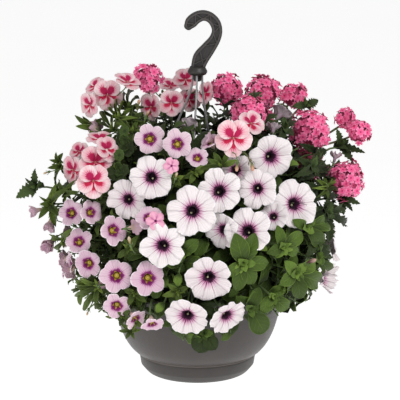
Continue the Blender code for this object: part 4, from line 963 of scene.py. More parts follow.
def fresh_front(pink, crease):
    """A bloom that has just opened: warm pink, with magenta creases widened by painted shade, which meet in
    its shut middle.
    """
    finish = Finish("calibrachoa_fresh_front", 0.60, sheen=0.08, specular=0.3)
    around, outwards = finish.form()
    # Painted shade: broad darker bands along the folds, over the creases' own magenta
    broad_fold_shade = finish.times(finish.lines(around, 5, 0.50), 0.55)
    fold_colour_and_shade = finish.times(finish.most(finish.lines(around, 5, 0.22), broad_fold_shade), finish.ease(outwards, 1.05, 0.40))
    finish.paint(
        pink,
        (finish.times(finish.noise(160.0, 2.0), 0.5), TINTS["fresh_pale"]),
        (finish.times(fold_colour_and_shade, 0.85), crease),
        (finish.ease(outwards, 0.36, 0.22), crease),
    )
    return finish.material


def pelargonium_petal(pink, blotch):
    """Pale pink with a white rim, and a feathered blotch from the eye, magenta on the two upper petals."""
    finish = Finish("pelargonium_petal_front", 0.62, sheen=0.06, specular=0.3)
    across, outwards = finish.form()
    upper = finish.tone()
    sides = finish.times(finish.off_middle(across), 2.0)
    along = finish.times(finish.math("SUBTRACT", outwards, 0.16), 4.0)
    squares = [finish.math("POWER", value, 2.0) for value in (along, sides)]
    spread = finish.math("SQRT", finish.plus(*squares))
    veins = finish.lines(across, 13, 0.24)
    wobble = finish.linear(finish.noise(300.0, 3.0), 0.60, -0.30)
    stain = finish.plus(spread, finish.linear(veins, -0.30, wobble))
    stain = finish.linear(upper, -0.18, stain)
    rim = finish.ease(finish.most(sides, outwards), 0.80, 1.0)
    finish.paint(
        TINTS["pelargonium_pale"],
        (finish.ease(finish.noise(90.0, 2.0), 0.3, 0.7), pink),
        (finish.times(rim, 0.70), TINTS["pelargonium_rim"]),
        (finish.times(veins, 0.10), blotch),
        (finish.times(finish.ease(stain, 1.8, 0.6), 0.85), TINTS["pelargonium_stain"]),
        (finish.ease(stain, 0.98, 0.62), finish.mix(upper, blotch, TINTS["pelargonium_upper"])),
        (finish.ease(outwards, 0.06, 0.02), TINTS["pelargonium_depths"]),
    )
    finish.bump(veins, 0.0003, 0.5)
    return finish.material


def verbena_petal(pink):
    """Hot pink lobes round a small crimson eye, with a painted highlight at the tips, and painted shade below
    and on the sunk florets.
    """
    finish = Finish("verbena_petal_front", 0.62, sheen=0.06, specular=0.25)
    around, outwards = finish.form()
    tone = finish.tone()
    finish.paint(
        # Painted shade: a low tone darkens the sunk florets
        scaled(pink, 0.55),
        (tone, pink),
        # Painted highlight at the lobe tips, weaker on the sunk florets
        (finish.times(finish.ease(outwards, 0.14, 0.32), finish.times(tone, 0.70)), TINTS["verbena_tip_highlight"]),
        (finish.times(finish.lines(around, 5, 0.14), 0.30), scaled(pink, 0.50)),
        (finish.ease(outwards, 0.075, 0.045), TINTS["verbena_eye"]),
        # Painted shade under the lobes and on the tube
        (finish.ease(outwards, 0.36, 0.45), scaled(pink, 0.45)),
    )
    return finish.material


def leafy(name, green, veins, glow, branching=True):
    """A leaf: paler ribs and a painted highlight on its rim, darker between them, with painted shade towards
    its base; painted shade darkens deep leaves, and outer and young ones are painted lit.
    """
    finish = Finish(name, 0.56, sheen=0.05, specular=0.20)
    across, outwards = finish.form()
    tone = finish.tone()
    off = finish.off_middle(across)
    if branching:
        slant = finish.math("SUBTRACT", outwards, finish.times(off, 0.55))
        ribs = finish.most(finish.ease(off, 0.040, 0.0), finish.times(finish.lines(slant, veins, 0.14), 0.45))
    else:
        ribs = finish.times(finish.lines(across, veins, 0.13), finish.ease(outwards, 1.1, 0.5))
    mottle = finish.noise(120.0, 4.0)
    # Painted shade towards the leaf's base
    inner = finish.linear(mottle, 0.5, finish.times(finish.ease(outwards, 0.55, 0.0), 0.62))
    rim = finish.ease(finish.most(finish.times(off, 2.0), outwards), 0.88, 1.0)
    # Paler ribs and a painted highlight on the rim, both stronger where the leaf is painted lit
    light = finish.times(tone, finish.linear(ribs, 0.34, finish.times(rim, 0.56)))
    finish.paint(
        # Painted shade and light from the tone: a low tone leaves the dark green
        scaled(green, 0.12),
        (finish.linear(mottle, 0.22, finish.times(tone, 1.10)), green),
        # Lit green where the tone is high: painted light on outer leaves, and young growth
        (finish.ease(tone, 0.65, 1.0), glow),
        (finish.ease(inner, 0.20, 0.80), scaled(green, 0.36)),
        (light, scaled(glow, 1.9)),
    )
    finish.bump(finish.linear(ribs, -1.0, finish.times(mottle, 0.4)), 0.0007, 0.8)
    return finish.material


def stalky(name, green, tint):
    """Soft stems, tinted darker in patches."""
    finish = Finish(name, 0.60, sheen=0.20)
    patches = finish.ease(finish.noise(60.0, 3.0), 0.40, 0.65)
    finish.paint(green, (finish.times(patches, 0.6), tint))
    finish.bump(finish.noise(900.0, 2.0), 0.0002)
    return finish.material


def plain(name, colour, roughness):
    """A small part in one colour with a fine mottle."""
    finish = Finish(name, roughness)
    mottle = finish.noise(400.0, 3.0)
    finish.paint(scaled(colour, 0.7), (mottle, scaled(colour, 1.25)))
    finish.bump(mottle, 0.0002)
    return finish.material


def turned(outline, segments):
    """A solid turned about the upright axis from (radius, height) points, closed on the axis at both ends."""
    shape = blank()
    points = [(0.0, outline[0][1]), *outline, (0.0, outline[-1][1])]
    corners = [shape.verts.new((radius, 0.0, height)) for radius, height in points]
    edges = [shape.edges.new(pair) for pair in zip(corners, corners[1:])]
    bmesh.ops.spin(
        shape, geom=corners + edges, axis=(0, 0, 1), cent=(0, 0, 0), angle=TURN, steps=segments,
        use_merge=True,
    )
    bmesh.ops.remove_doubles(shape, verts=shape.verts, dist=MERGE)
    bmesh.ops.recalc_face_normals(shape, faces=shape.faces)
    for face in shape.faces:
        face.smooth = True
    return shape


def bevelled(shape, angle, width):
    """Rounds every edge that turns by more than an angle in degrees."""
    shape.normal_update()
    limit = math.radians(angle)
    edges = [edge for edge in shape.edges if edge.is_manifold and edge.calc_face_angle() > limit]
    bmesh.ops.bevel(
        shape, geom=edges, offset=width, segments=2, affect="EDGES", profile=0.5, material=-1,
        clamp_overlap=True,
    )
    for face in shape.faces:
        face.smooth = True
    return shape


def curved(outline, pieces):
    """An outline's points with more between them, on a smooth curve."""
    return [(p.x, p.y) for p in smooth_route([Vector(point) for point in outline], pieces)]


def washer(outer, inner, bearing, distance, low, high):
    """A flat ring standing on end, for a lug with its hole."""

    def form(u, v):
        corner = round(v * 4) % 4
        radius = inner if corner in (0, 3) else outer
        height = low if corner in (0, 1) else high
        return polar(bearing, distance, height) + polar(math.degrees(TURN * u), radius, 0.0)

    return bevelled(sheet(24, 4, form), 50, 0.0004)


def make_pot(chosen):
    """The bowl with its rolled rim and lugs, the saucer clipped under it, and the soil."""
    grey = moulded("bowl_grey_plastic", chosen.bowl_grey, 0.42, 2600.0)
    # Painted shade: the saucer is the bowl's plastic, darkened
    shaded = moulded("saucer_grey_plastic_painted_shade", scaled(chosen.bowl_grey, 0.76), 0.46, 2600.0)
    outside, inside_wall = curved(BOWL_WALL_OUTSIDE, WALL_STEPS), curved(BOWL_WALL_INSIDE, WALL_STEPS)
    shell = turned([*BOWL_FOOT, *outside, *BOWL_RIM, *inside_wall], POT_SEGMENTS)
    shade = shell.verts.layers.float["tone"]
    # Painted highlight: the bowl's foot is painted paler just above its seam with the saucer
    for corner in shell.verts:
        if math.hypot(corner.co.x, corner.co.y) > HIGHLIGHT_RADIUS and corner.co.z < HIGHLIGHT_TOP:
            corner[shade] = 0.55 + 0.35 * ease(corner.co.z, HIGHLIGHT_TOP, 0.0300)
    bowl = Bench()
    bowl.add(shell)
    for route in STRANDS.values():
        bearing, distance, _ = route[-1]
        hole = STRAND_RADIUS + LUG_PLAY
        bowl.add(washer(LUG_RADIUS, hole, bearing, distance, LUG_TOP - LUG_THICKNESS, LUG_TOP))
    bowl.piece("bowl_shell", [grey], "bowl_plastic", "bowl")
    outside, inside_wall = curved(SAUCER_OUTSIDE, WALL_STEPS), curved(SAUCER_INSIDE, WALL_STEPS)
    dish = turned([*outside, *SAUCER_LIP, *inside_wall], POT_SEGMENTS)
    shade = dish.verts.layers.float["tone"]
    # Painted highlight: the saucer's lip is painted pale
    for corner in dish.verts:
        if corner.co.z > SAUCER_HEIGHT - LIP_HIGHLIGHT_DEPTH:
            corner[shade] = 1.0
    saucer = Bench()
    saucer.add(dish)
    saucer.piece("saucer_shell", [shaded], "bowl_plastic", "drip_saucer")
    fill = [(radius - 0.0008, height + 0.0006) for radius, height in BOWL_WALL_INSIDE[::-1]]
    rings = [(SOIL_RADIUS * (1 - k / SOIL_RINGS), SOIL_TOP - 0.001) for k in range(1, SOIL_RINGS)]
    bed = turned([*fill, (SOIL_RADIUS, 0.1105), *rings], SOIL_SEGMENTS)
    for corner in bed.verts:
        if corner.co.z > SOIL_TOP - 0.002:
            corner.co.z += noise.noise(corner.co * 60.0) * 0.0022 + noise.noise(corner.co * 220.0) * 0.0012
    bmesh.ops.recalc_face_normals(bed, faces=bed.faces)
    soil = Bench()
    soil.add(bed)
    soil.piece("soil_bed", [earthy("soil_compost", chosen.soil_brown)], "soil", "soil")


def hook_edges(inset, pieces):
    """The hook's two edges, drawn in by an inset, from the hub up one side and back down the other."""
    middle = smooth_route([Vector((x, 0, z)) for x, z, _ in HOOK_STATIONS], pieces)
    widths = smooth_route([Vector((width, 0, 0)) for _, _, width in HOOK_STATIONS], pieces)
    right, left = [], []
    for index, point in enumerate(middle):
        before, after = middle[max(index - 1, 0)], middle[min(index + 1, len(middle) - 1)]
        along = (after - before).normalized()
        across = Vector((along.z, 0, -along.x))
        reach = max(widths[index].x / 2 - inset, 0.0004)
        right.append(point + across * reach)
        left.append(point - across * reach)
    return right, left


def hook_section(reach, sink):
    """The corners round the hook's section: its border stands proud of the web by sink on both faces."""
    half = HOOK_DEPTH / 2
    lip = max(reach - HOOK_BORDER, 0.0006)
    foot = max(lip - 0.0003, 0.0004)
    quarter = ((reach, half), (lip, half), (foot, half - sink))
    near = [(x, y) for x, y in quarter] + [(-x, y) for x, y in quarter[::-1]]
    return near + [(-x, -y) for x, y in near]


def hook_plate():
    """The flat hook: a band with both faces sunk inside a raised border that runs round its round tip."""
    right, left = hook_edges(0.0, HOOK_PIECES)
    middle = [(a + b) / 2 for a, b in zip(right, left)]
    half_widths = [(a - b).length / 2 for a, b in zip(right, left)]
    sides = [(a - b).normalized() for a, b in zip(right, left)]
    onwards = Vector((-sides[-1].z, 0, sides[-1].x))
    if onwards.dot(middle[-1] - middle[-2]) < 0:
        onwards = -onwards
    rows = [(middle[0], sides[0], 0.0, 0.0)]
    rows += [(*row, HOOK_DEPTH / 2 - HOOK_WEB / 2) for row in zip(middle, sides, half_widths)]
    rows.append((*rows[-1][:3], 0.0))
    for angle in HOOK_TIP_ANGLES:
        step = 0.75 * half_widths[-1] * math.sin(math.radians(angle))
        reach = half_widths[-1] * math.cos(math.radians(angle))
        rows.append((middle[-1] + onwards * step, sides[-1], reach, 0.0))
    last = len(rows) - 1

    def form(u, v):
        point, side, reach, sink = rows[round(v * last)]
        corner = round(u * HOOK_CORNERS) % HOOK_CORNERS
        x, y = hook_section(reach, sink)[corner] if reach > 0.0001 else (0.0, 0.0)
        return point + side * x + Vector((0, y, HUB_TOP))

    # Painted highlight: the inner edge of the border on both faces is painted pale
    def tone(u, v):
        on_lip = round(u * HOOK_CORNERS) % 3 == 1
        return 1.0 if on_lip and rows[round(v * last)][3] else 0.5

    return bevelled(sheet(HOOK_CORNERS, last, form, tone=tone), 35, 0.0003)


def hook_ribs(bench):
    """A cross of thin ribs in the sunk faces of the hook near the hub, and a zigzag from there to its tip."""
    right, left = hook_edges(HOOK_BORDER * 0.6, HOOK_PIECES)
    crossing = 5 * HOOK_PIECES // 2
    pairs = [(right[HOOK_PIECES], left[crossing]), (left[HOOK_PIECES], right[crossing])]
    near, far, start, step = left, right, 3 * HOOK_PIECES, 5 * HOOK_PIECES // 6
    while start + step < len(right):
        pairs.append((near[start], far[start + step]))
        near, far, start = far, near, start + step
    half = HOOK_DEPTH / 2 - 0.0004
    for low, high in pairs:
        along = high - low
        turn = Matrix((along.normalized(), Vector((0, 1, 0)), along.normalized().cross(Vector((0, 1, 0)))))
        rib = blank()
        shade = rib.verts.layers.float["tone"]
        bmesh.ops.create_cube(rib, size=1.0)
        bmesh.ops.scale(rib, vec=(along.length, 2 * half, HOOK_RIB), verts=rib.verts)
        bevelled(rib, 50, 0.0002)
        # Painted highlight: the ribs are painted pale
        for corner in rib.verts:
            corner[shade] = RIB_HIGHLIGHT
        middle = (low + high) / 2 + Vector((0, 0, HUB_TOP))
        bench.add(rib, Matrix.Translation(middle) @ turn.transposed().to_4x4())


def make_hanger(chosen):
    """The hub and flat hook in one moulding, and the three stiff strands with their beads."""
    charcoal = moulded("hanger_charcoal_plastic", chosen.hanger_grey, 0.46, 2200.0)
    smoke = moulded("strand_smoke_plastic", chosen.strand_grey, 0.30, 1800.0)
    hook = Bench()
    hook.add(hook_plate())
    hook_ribs(hook)
    hook.add(turned(HUB_OUTLINE, 48))
    hook.piece("hook_moulding", [charcoal], "hanger_plastic", "hook")
    for name, route in STRANDS.items():
        strand = Bench()
        points = smooth_route([polar(*spot) for spot in route], 5)
        strand.add(tube(points, (STRAND_RADIUS, STRAND_RADIUS), 12))
        strand.add(bead(polar(*route[-1]), BARB_RADIUS, around=16))
        BLOOM_TREES.append(strand.tree())
        strand.piece(name + "_moulding", [smoke], "strand_plastic", name)


def lobe_reach(phase, breadth):
    """How far a round lobe reaches at a share of its turn; half its breadth and its middle add up to 1."""
    angle = (phase - 0.5) * TURN / 5
    middle = 1 - breadth
    return middle * math.cos(angle) + math.sqrt(max(breadth**2 - (middle * math.sin(angle)) ** 2, 0.0))


def trumpet(radius, form, draw, cup):
    """A five-lobed trumpet in its own frame: its mouth faces +Z and its tube ends at the calyx."""
    uneven = form["uneven"]
    tilts = drawn(draw, 5, -uneven, uneven)
    sizes = drawn(draw, 5, -0.6 * uneven, 0.3 * uneven)
    splits = drawn(draw, 5, 0.0, form["split"])
    skews = drawn(draw, 5, -LOBE_SKEW, LOBE_SKEW)
    seed = Vector((draw.uniform(0, 50), draw.uniform(0, 50), 0))
    mouth = form["throat"] * radius

    def place(u, v):
        angle = -TURN * u
        if v < TUBE_SHARE:
            share = v / TUBE_SHARE
            reach = radius * (TUBE_FOOT + (form["throat"] - TUBE_FOOT) * share**0.8) if v else 0.0
            return swung(angle, reach, radius * (-form["tube"] + (form["tube"] - form["dish"]) * share))
        lobe = int(u * 5) % 5
        phase = (u * 5) % 1.0
        swell = math.sin(math.pi * phase)
        crease = abs(math.cos(math.pi * phase))
        rib = max(1 - abs(phase - 0.5) / 0.10, 0.0)
        out = (v - TUBE_SHARE) / (1 - TUBE_SHARE)
        around = swung(angle, 1.0, 0.0)
        lobes = lobe_reach(phase + skews[lobe] * swell**2, form["lobe"])
        lobes -= crease**14 * splits[round(u * 5) % 5]
        lobes += 0.05 * noise.noise(seed + around * 5.0) + 0.02 * noise.noise(seed - around * 13.0)
        edge = radius * (1 + out * (lobes - 1) + sizes[lobe] * swell)
        ripple = noise.noise(seed + around * 1.8 + upright(out))
        ripple += 0.6 * noise.noise(seed + around * 4.6) * out
        reach = mouth + (edge - mouth) * out * (1 - 0.62 * cup * out)
        height = -form["dish"] * (1 - out) ** 2.2 + cup * 0.62 * out**1.2
        height += out**1.5 * (tilts[lobe] * swell + form["ruffle"] * ripple * 2.4 * (1 + 1.5 * cup))
        height -= form["curl"] * out**5 * (1 - cup) * (0.4 + 0.6 * swell)
        height -= 0.20 * crease**5 * out * (1.20 - out) - 0.030 * rib * out
        return swung(angle, reach, radius * height)

    thickness = settings().petal_thickness
    return sheet(form["around"], form["along"], place, thickness, draw.random(), front=0, back=1)


def add_pistil(bench, matrix, radius, kind, draw):
    """The pale stigma in a petunia's throat on its style, or the yellow heart that fills a calibrachoa's."""
    stigma, depths = 2, 3
    if kind == "petunia":
        right, up = draw.uniform(-0.06, 0.06), draw.uniform(-0.08, 0.02)
        top = Vector((right, up, draw.uniform(-0.46, -0.30))) * radius
        foot = upright(-0.9 * radius)
        bench.add(tube(bent(foot, foot * 0.8, top * 1.6, top, 3), (0.0005, 0.0005), 5, stigma), matrix)
        bench.add(bead(top, 0.045 * radius, 0.7, stigma), matrix)
        bench.add(bead(upright(-0.56 * radius), 0.150 * radius, 0.4, depths, 12), matrix)
    else:
        bench.add(bead(upright(-0.35 * radius), 0.150 * radius, 0.25, stigma, 10), matrix)
        top = Vector((draw.uniform(-0.05, 0.05), draw.uniform(-0.06, 0.04), -0.27)) * radius
        bench.add(bead(top, 0.036 * radius, 0.7, depths), matrix)


def add_calyx(bench, pattern, matrix, radius, tube_length, draw):
    """Five narrow sepals and a small cup round the end of the tube."""
    foot = upright(-tube_length - 0.0008)
    bench.add(bead(foot - upright(0.0012), 0.0020, 1.2), matrix)
    for k in range(5):
        out = polar(72 * k + draw.uniform(-12, 12) + 36, 1.0, 0.0)
        way = upright(1) * 0.85 + out * draw.uniform(0.50, 0.85)
        length = draw.uniform(0.40, 0.55) * radius
        lying = lying_matrix(foot + out * 0.0012, way, out, length, length * 0.30)
        bench.stamp(pattern, matrix @ lying, draw.uniform(0.4, 0.9))


def mid_bearing(plant):
    return (plant["from"] + plant["to"]) / 2


def add_stalk(bench, start, facing, plant, draw, thick=STALK_RADIUS):
    """A stalk from the back of a bloom down to the close-grown middle of its plant."""
    bearing = math.degrees(math.atan2(start.y, start.x)) % 360
    middle = mid_bearing(plant)
    half = (plant["to"] - plant["from"]) / 2 - STALK_SIDE_ROOM
    off = (bearing - middle + 180) % 360 - 180
    height = min(max(start.z - STALK_DROP, STALK_END_LOWEST), STALK_END_HIGHEST)
    end = polar(middle + min(max(off, -half), half), draw.uniform(*STALK_END_DISTANCE), height)
    reach = (start - end).length
    leave = start - facing * min(0.30 * reach, 0.035)
    arrive = end + upright(0.25 * reach) + polar(bearing, 0.2 * reach, 0.0)
    bench.add(tube(bent(start, leave, arrive, end, 8), (thick, thick * 1.3), 6))


def leaf_shape(kind, draw, fineness):
    """A leaf of unit length and width: a folded, arched and waved blade with its own edge."""
    form = LEAVES[kind]
    across, along = form[fineness]
    power = math.log(0.5) / math.log(form["widest"])
    droop = draw.uniform(0.02, 0.16)
    twist = draw.uniform(-0.25, 0.25)
    seed = Vector((draw.uniform(0, 40), 3.0, 1.0))

    def blade(u, v):
        side = 2 * u - 1
        share = math.sin(v * math.pi / 2) ** 1.15
        width = max(math.sin(math.pi * share**power), 0.0) ** form["blunt"] * 0.5
        if form["teeth"] and 0 < share < 1:
            width *= 1.18 if round(v * along) % 2 else 0.74
        lift = form["arch"] * math.sin(math.pi * share) - droop * share**2 + form["fold"] * abs(side) * width
        lift += form["wave"] * side * side * noise.noise(seed + Vector((share * 3.2, side, 0))) * 3
        return Vector((share, side * width, lift + twist * side * width * share))

    def fan(u, v):
        angle = (2 * u - 1) * math.pi * 0.965
        scallop = 1 + 0.055 * math.cos(angle * form["teeth"])
        reach = 0.5 * v * scallop * (1 - 0.16 * (abs(angle) / math.pi) ** 3)
        lift = 0.22 * v * v * 0.5 + form["wave"] * v * noise.noise(seed + Vector((angle * 1.3, v, 0))) * 3
        lift += 0.025 * v * math.cos(angle * form["teeth"])
        return Vector((0.40 + reach * math.cos(angle) * 1.1, -reach * math.sin(angle), lift))

    shape = fan if kind == "pelargonium" else blade
    unit_thickness = settings().leaf_thickness / form["length"]
    place = LEAF_KINDS.index(kind) if kind in LEAF_KINDS else 0
    return sheet(across, along, shape, unit_thickness, front=place, back=place)


def leaf_patterns(kind, draw, fineness="coarse"):
    """A few leaves of one kind, kept as meshes to be stamped."""
    names = [f"{kind}_leaf_{fineness}_{number}" for number in range(LEAF_VARIANTS)]
    return [kept(leaf_shape(kind, draw, fineness), name) for name in names]


def is_free(root, along, side, length, width):
    """Whether a leaf's rib and edges pass through no bloom."""
    low = root + along * 0.2 * length
    wide = root + along * 0.6 * length
    rays = ((root, root + along * length), (low, wide + side * width / 2), (low, wide - side * width / 2))
    for tree in BLOOM_TREES:
        for start, aim in rays:
            way = aim - start
            if tree.ray_cast(start, way.normalized(), way.length)[0] is not None:
                return False
    return True


def hides_none(point):
    """Whether a point stands before no bloom. One in the back half of the mound is taken to."""
    if point.y > FRONT_FROM:
        return True
    look = sight(*seen_at(point))
    return all(tree.ray_cast(point, look, HIDING_DEPTH)[0] is None for tree in BLOOM_TREES)


def add_leaf(bench, patterns, root, way, up, length, width, tone, draw, insist=False):
    """Stamps a leaf where it is clear of the blooms and inside the basket's outline."""
    way = way.normalized()
    tip = root + way * length
    up = up - way * up.dot(way)
    if up.length < 0.05:
        up = way.orthogonal()
    up.normalize()
    if not insist:
        if not inside(seen_at(tip), LEAF_OUTLINE) or not is_free(root, way, up.cross(way), length, width):
            return
        if not hides_none(tip):
            return
        low, high = CAD_LOW - FOOT, CAD_HIGH - FOOT
        if not all(low[k] - LEAF_MARGIN < tip[k] < high[k] + LEAF_MARGIN for k in range(3)):
            return
    pattern = draw.choice(patterns)
    bench.stamp(pattern, lying_matrix(root, way, up, length, width), tone)


def set_loose(column, row, right, up, toward, stand_off):
    """Where a loose bloom or bud stands, and the way that it faces, which may be away from the viewer."""
    facing = RIGHT * right + UPWARDS * up - sight(column, row) * toward
    return on_mound(column, row, stand_off), facing.normalized()


def add_bud(bench, stalks, pattern, row, plant, draw):
    """A long bud, pale towards its tip, in its calyx on a stalk."""
    *spot, length, stand_off = row
    point, facing = set_loose(*spot, stand_off)
    size = length * STEP
    matrix = facing_matrix(point, facing)

    def form(u, v):
        out = size * (0.04 + 0.13 * math.sin(math.pi * v**1.7)) * min(1.0, 12 * v, 12 * (1 - v))
        ridge = 1 + 0.10 * math.cos(5 * TURN * u + 5 * v)
        return swung(-TURN * u, out * ridge, size * v)

    bench.add(sheet(20, 10, form, tone=draw.random()), matrix)
    add_calyx(stalks, pattern, matrix, 0.9 * size, -0.0010, draw)
    add_stalk(stalks, point - facing * 0.001, facing, plant, draw, 0.0007)


def leaning(facing, row, draw):
    """A bloom's facing with a little chance in it; the lowest blooms hang their heads."""
    return (facing + chance(draw, 0.15) - upright(0.30 * ease(row, 110, 60))).normalized()


def make_sprays(chosen, kind, tables, form, finishes, calyx_pattern):
    """The trumpets of one kind, a piece for each spray, and all their stalks and calyxes in one more."""
    draw = random.Random(len(kind))
    stalks = Bench()
    nodes = []
    home = PLANTS[kind + "_plant"]
    slot = kind + "_petal"

    def add_bloom(blooms, point, facing, radius, cup, plant=home, form=form):
        matrix = facing_matrix(point, facing)
        blooms.add(trumpet(radius, form, draw, cup), matrix)
        if cup < SHUT_CUP and form is not FRESH_FORM:
            add_pistil(blooms, matrix, radius, kind, draw)
        add_calyx(stalks, calyx_pattern, matrix, radius, form["tube"] * radius, draw)
        add_stalk(stalks, point - facing * (form["tube"] * radius + 0.0005), facing, plant, draw)

    def add_loose(rows, form):
        """Blooms that stand for no node."""
        blooms = Bench()
        for column, row, width, *way, stand_off, cup in rows:
            point, facing = set_loose(column, row, *way, stand_off)
            add_bloom(blooms, point, facing, width * STEP / 2, cup, form=form)
        return blooms

    for name, rows, spots, behind in clusters(kind + "_spray", *tables):
        plant = PLANTS["petunia_plant_behind"] if kind == "petunia" and behind else home
        blooms = Bench()
        for (point, facing, radius), row in zip(spots, rows):
            half_open = row[2] < HALF_OPEN_STEPS
            cup = HALF_OPEN_CUP if half_open else draw.uniform(0.0, 0.08)
            if row is PETUNIA_BACK[0][0]:
                cup = CUP_FOR_SIDE_BLOOM
            facing = facing if behind else leaning(facing, row[1], draw)
            growth = HALF_OPEN_GROWTH if half_open else 1.0
            add_bloom(blooms, point, facing, radius * growth, cup, plant)
        BLOOM_TREES.append(blooms.tree())
        blooms.piece(name.replace("spray", "blooms"), finishes, slot, name)
        nodes.append(name)
    add_loose(LOOSE_BLOOMS[kind], form).piece(kind + "_loose_blooms", finishes, slot)
    buds = Bench()
    for row in BUDS[kind]:
        add_bud(buds, stalks, calyx_pattern, row, home, draw)
    buds.piece(kind + "_buds", [budding(kind + "_bud")], slot)
    if kind == "calibrachoa":
        creased = [fresh_front(TINTS["fresh_pink"], TINTS["fresh_crease"]), finishes[1]]
        add_loose(FRESH_BLOOMS, FRESH_FORM).piece("calibrachoa_fresh_blooms", creased, slot)
    green = stalky(kind + "_stalk_green", chosen.stalk_green, (0.050, 0.085, 0.022))
    stalks.piece(kind + "_stalks", [green], "leaf", *nodes)


def budding(name):
    """A bud, ribbed and paler towards its tip."""
    low, tip = BUD_COLOURS[name]
    finish = Finish(name, 0.60)
    around, along = finish.form()
    ribs = finish.times(finish.lines(around, 5, 0.25), 0.4)
    finish.paint(low, (finish.ease(along, 0.25, 0.95), tip), (ribs, scaled(low, 0.5)))
    finish.bump(finish.noise(500.0, 2.0), 0.0002)
    return finish.material


def make_petunias(chosen):
    """The petunias' trumpets, all round the basket."""
    finishes = [
        petunia_front(chosen.petunia_white, chosen.petunia_blush, chosen.petunia_throat),
        petal_back("petunia_petal_back", (0.56, 0.46, 0.50), (0.24, 0.13, 0.20), 30),
        plain("petunia_stigma", (0.50, 0.46, 0.29), 0.7),
        plain("petunia_throat_depths", (0.022, 0.004, 0.016), 0.8),
    ]
    sepal = leaf_patterns("sepal", random.Random(3))[0]
    make_sprays(chosen, "petunia", (PETUNIA_SPRAYS, PETUNIA_BACK), PETUNIA_FORM, finishes, sepal)


def make_calibrachoas(chosen):
    """The calibrachoas' small trumpets, with those that have just opened."""
    finishes = [
        calibrachoa_front(chosen.calibrachoa_pink, chosen.calibrachoa_ring, chosen.calibrachoa_eye),
        petal_back("calibrachoa_petal_back", (0.62, 0.40, 0.50), (0.52, 0.38, 0.26), 15),
        plain("calibrachoa_heart", (0.50, 0.37, 0.045), 0.9),
        plain("calibrachoa_stigma", (0.70, 0.60, 0.26), 0.8),
    ]
    sepal = leaf_patterns("sepal", random.Random(4))[0]
    tables = (CALIBRACHOA_SPRAYS, CALIBRACHOA_BACK)
    make_sprays(chosen, "calibrachoa", tables, CALIBRACHOA_FORM, finishes, sepal)


def petal_of_five(radius, number, draw):
    """One broad petal of a pelargonium floret, with rays from the eye to its rim. The first two are upper."""
    tilt = draw.uniform(-0.06, 0.14)
    cupped = draw.uniform(-0.05, 0.26)
    half_width = draw.uniform(0.49, 0.55)
    length = draw.uniform(0.46, 0.49)
    tone = draw.uniform(0.75, 1.0) if number < 2 else draw.uniform(0.0, 0.35)
    seed = Vector((draw.uniform(0, 40), 7.0, 2.0))

    def place(u, v):
        side = 1 - 2 * u
        angle = side * math.radians(150)
        wavy = 1 + 0.09 * noise.noise(seed + swung(angle, 1, 0) * 2.2)
        wavy -= 0.05 * math.exp(-((side / 0.10) ** 2))
        rim = Vector((0.54 + length * wavy * math.cos(angle), half_width * wavy * math.sin(angle)))
        reach = math.sin(v * math.pi / 2)
        spot = Vector((0.03 + (rim.x - 0.03) * reach, rim.y * reach**1.5))
        lift = 0.18 * spot.x - 0.14 * spot.x**3 + tilt * spot.x + cupped * spot.y**2 * 1.2 + 0.03 * spot.y
        lift += (0.05, 0.09, 0.0, -0.05, -0.02)[number] * min(spot.x / 0.3, 1.0)
        lift += 0.09 * spot.x * noise.noise(seed + Vector((spot.x, spot.y, 4)) * 3.4)
        return Vector((spot.x, spot.y, lift)) * radius

    shape = sheet(14, 6, place, settings().petal_thickness, tone, front=0, back=1)
    shape.transform(Matrix.Rotation(TURN * (number + 0.75) / 5 + draw.uniform(-0.07, 0.07), 4, "Z"))
    return shape


def make_pelargoniums(chosen):
    """The umbels: florets of five blotched petals on short stalks, with a few buds."""
    draw = random.Random(5)
    front = pelargonium_petal(chosen.pelargonium_pink, chosen.pelargonium_blotch)
    back = petal_back("pelargonium_petal_back", (0.82, 0.56, 0.60), (0.62, 0.24, 0.32), 9)
    eye = plain("pelargonium_eye", (0.75, 0.25, 0.20), 0.5)
    green = stalky("pelargonium_stalk_green", chosen.stalk_green, (0.16, 0.06, 0.03))
    pattern = leaf_patterns("sepal", draw)[0]
    stalks = Bench()
    nodes = []
    for name, _, spots, _ in clusters("pelargonium_truss", TRUSSES, TRUSSES_BACK):
        nodes.append(name)
        blooms = Bench()
        inwards = sum((facing for _, facing, _ in spots), Vector()).normalized()
        backs = [point - facing * 0.42 * radius for point, facing, radius in spots]
        umbel = sum(backs, Vector()) / len(backs) - inwards * 0.022
        for (point, facing, radius), under in zip(spots, backs):
            matrix = facing_matrix(point - facing * 0.08 * radius, facing)
            for number in range(5):
                blooms.add(petal_of_five(radius, number, draw), matrix)
            blooms.add(bead(upright(0.05 * radius), 0.05 * radius, 1.3, 2), matrix)
            add_calyx(stalks, pattern, matrix, 0.9 * radius, 0.30 * radius, draw)
            near = under - facing * 0.008
            stalks.add(tube(bent(under, near, umbel + inwards * 0.008, umbel, 5), (0.0008, 0.0010), 6))
        for _ in range(3):
            way = (inwards + chance(draw, 0.8)).normalized()
            tip = umbel + way * draw.uniform(0.014, 0.022)
            stalks.add(tube([umbel, umbel.lerp(tip, 0.5), tip], (0.0008, 0.0006), 5))
            stalks.add(bead(tip, 0.0022, 1.9, way=way))
        stalks.add(bead(umbel, 0.0026))
        add_stalk(stalks, umbel, inwards, PLANTS["pelargonium_plant"], draw, 0.0017)
        BLOOM_TREES.append(blooms.tree())
        blooms.piece(name.replace("truss", "florets"), [front, back, eye], "pelargonium_petal", name)
    buds = Bench()
    for row in BUDS["pelargonium"]:
        add_bud(buds, stalks, pattern, row, PLANTS["pelargonium_plant"], draw)
    buds.piece("pelargonium_buds", [budding("pelargonium_bud")], "pelargonium_petal")
    stalks.piece("pelargonium_stalks", [green], "leaf", *nodes)


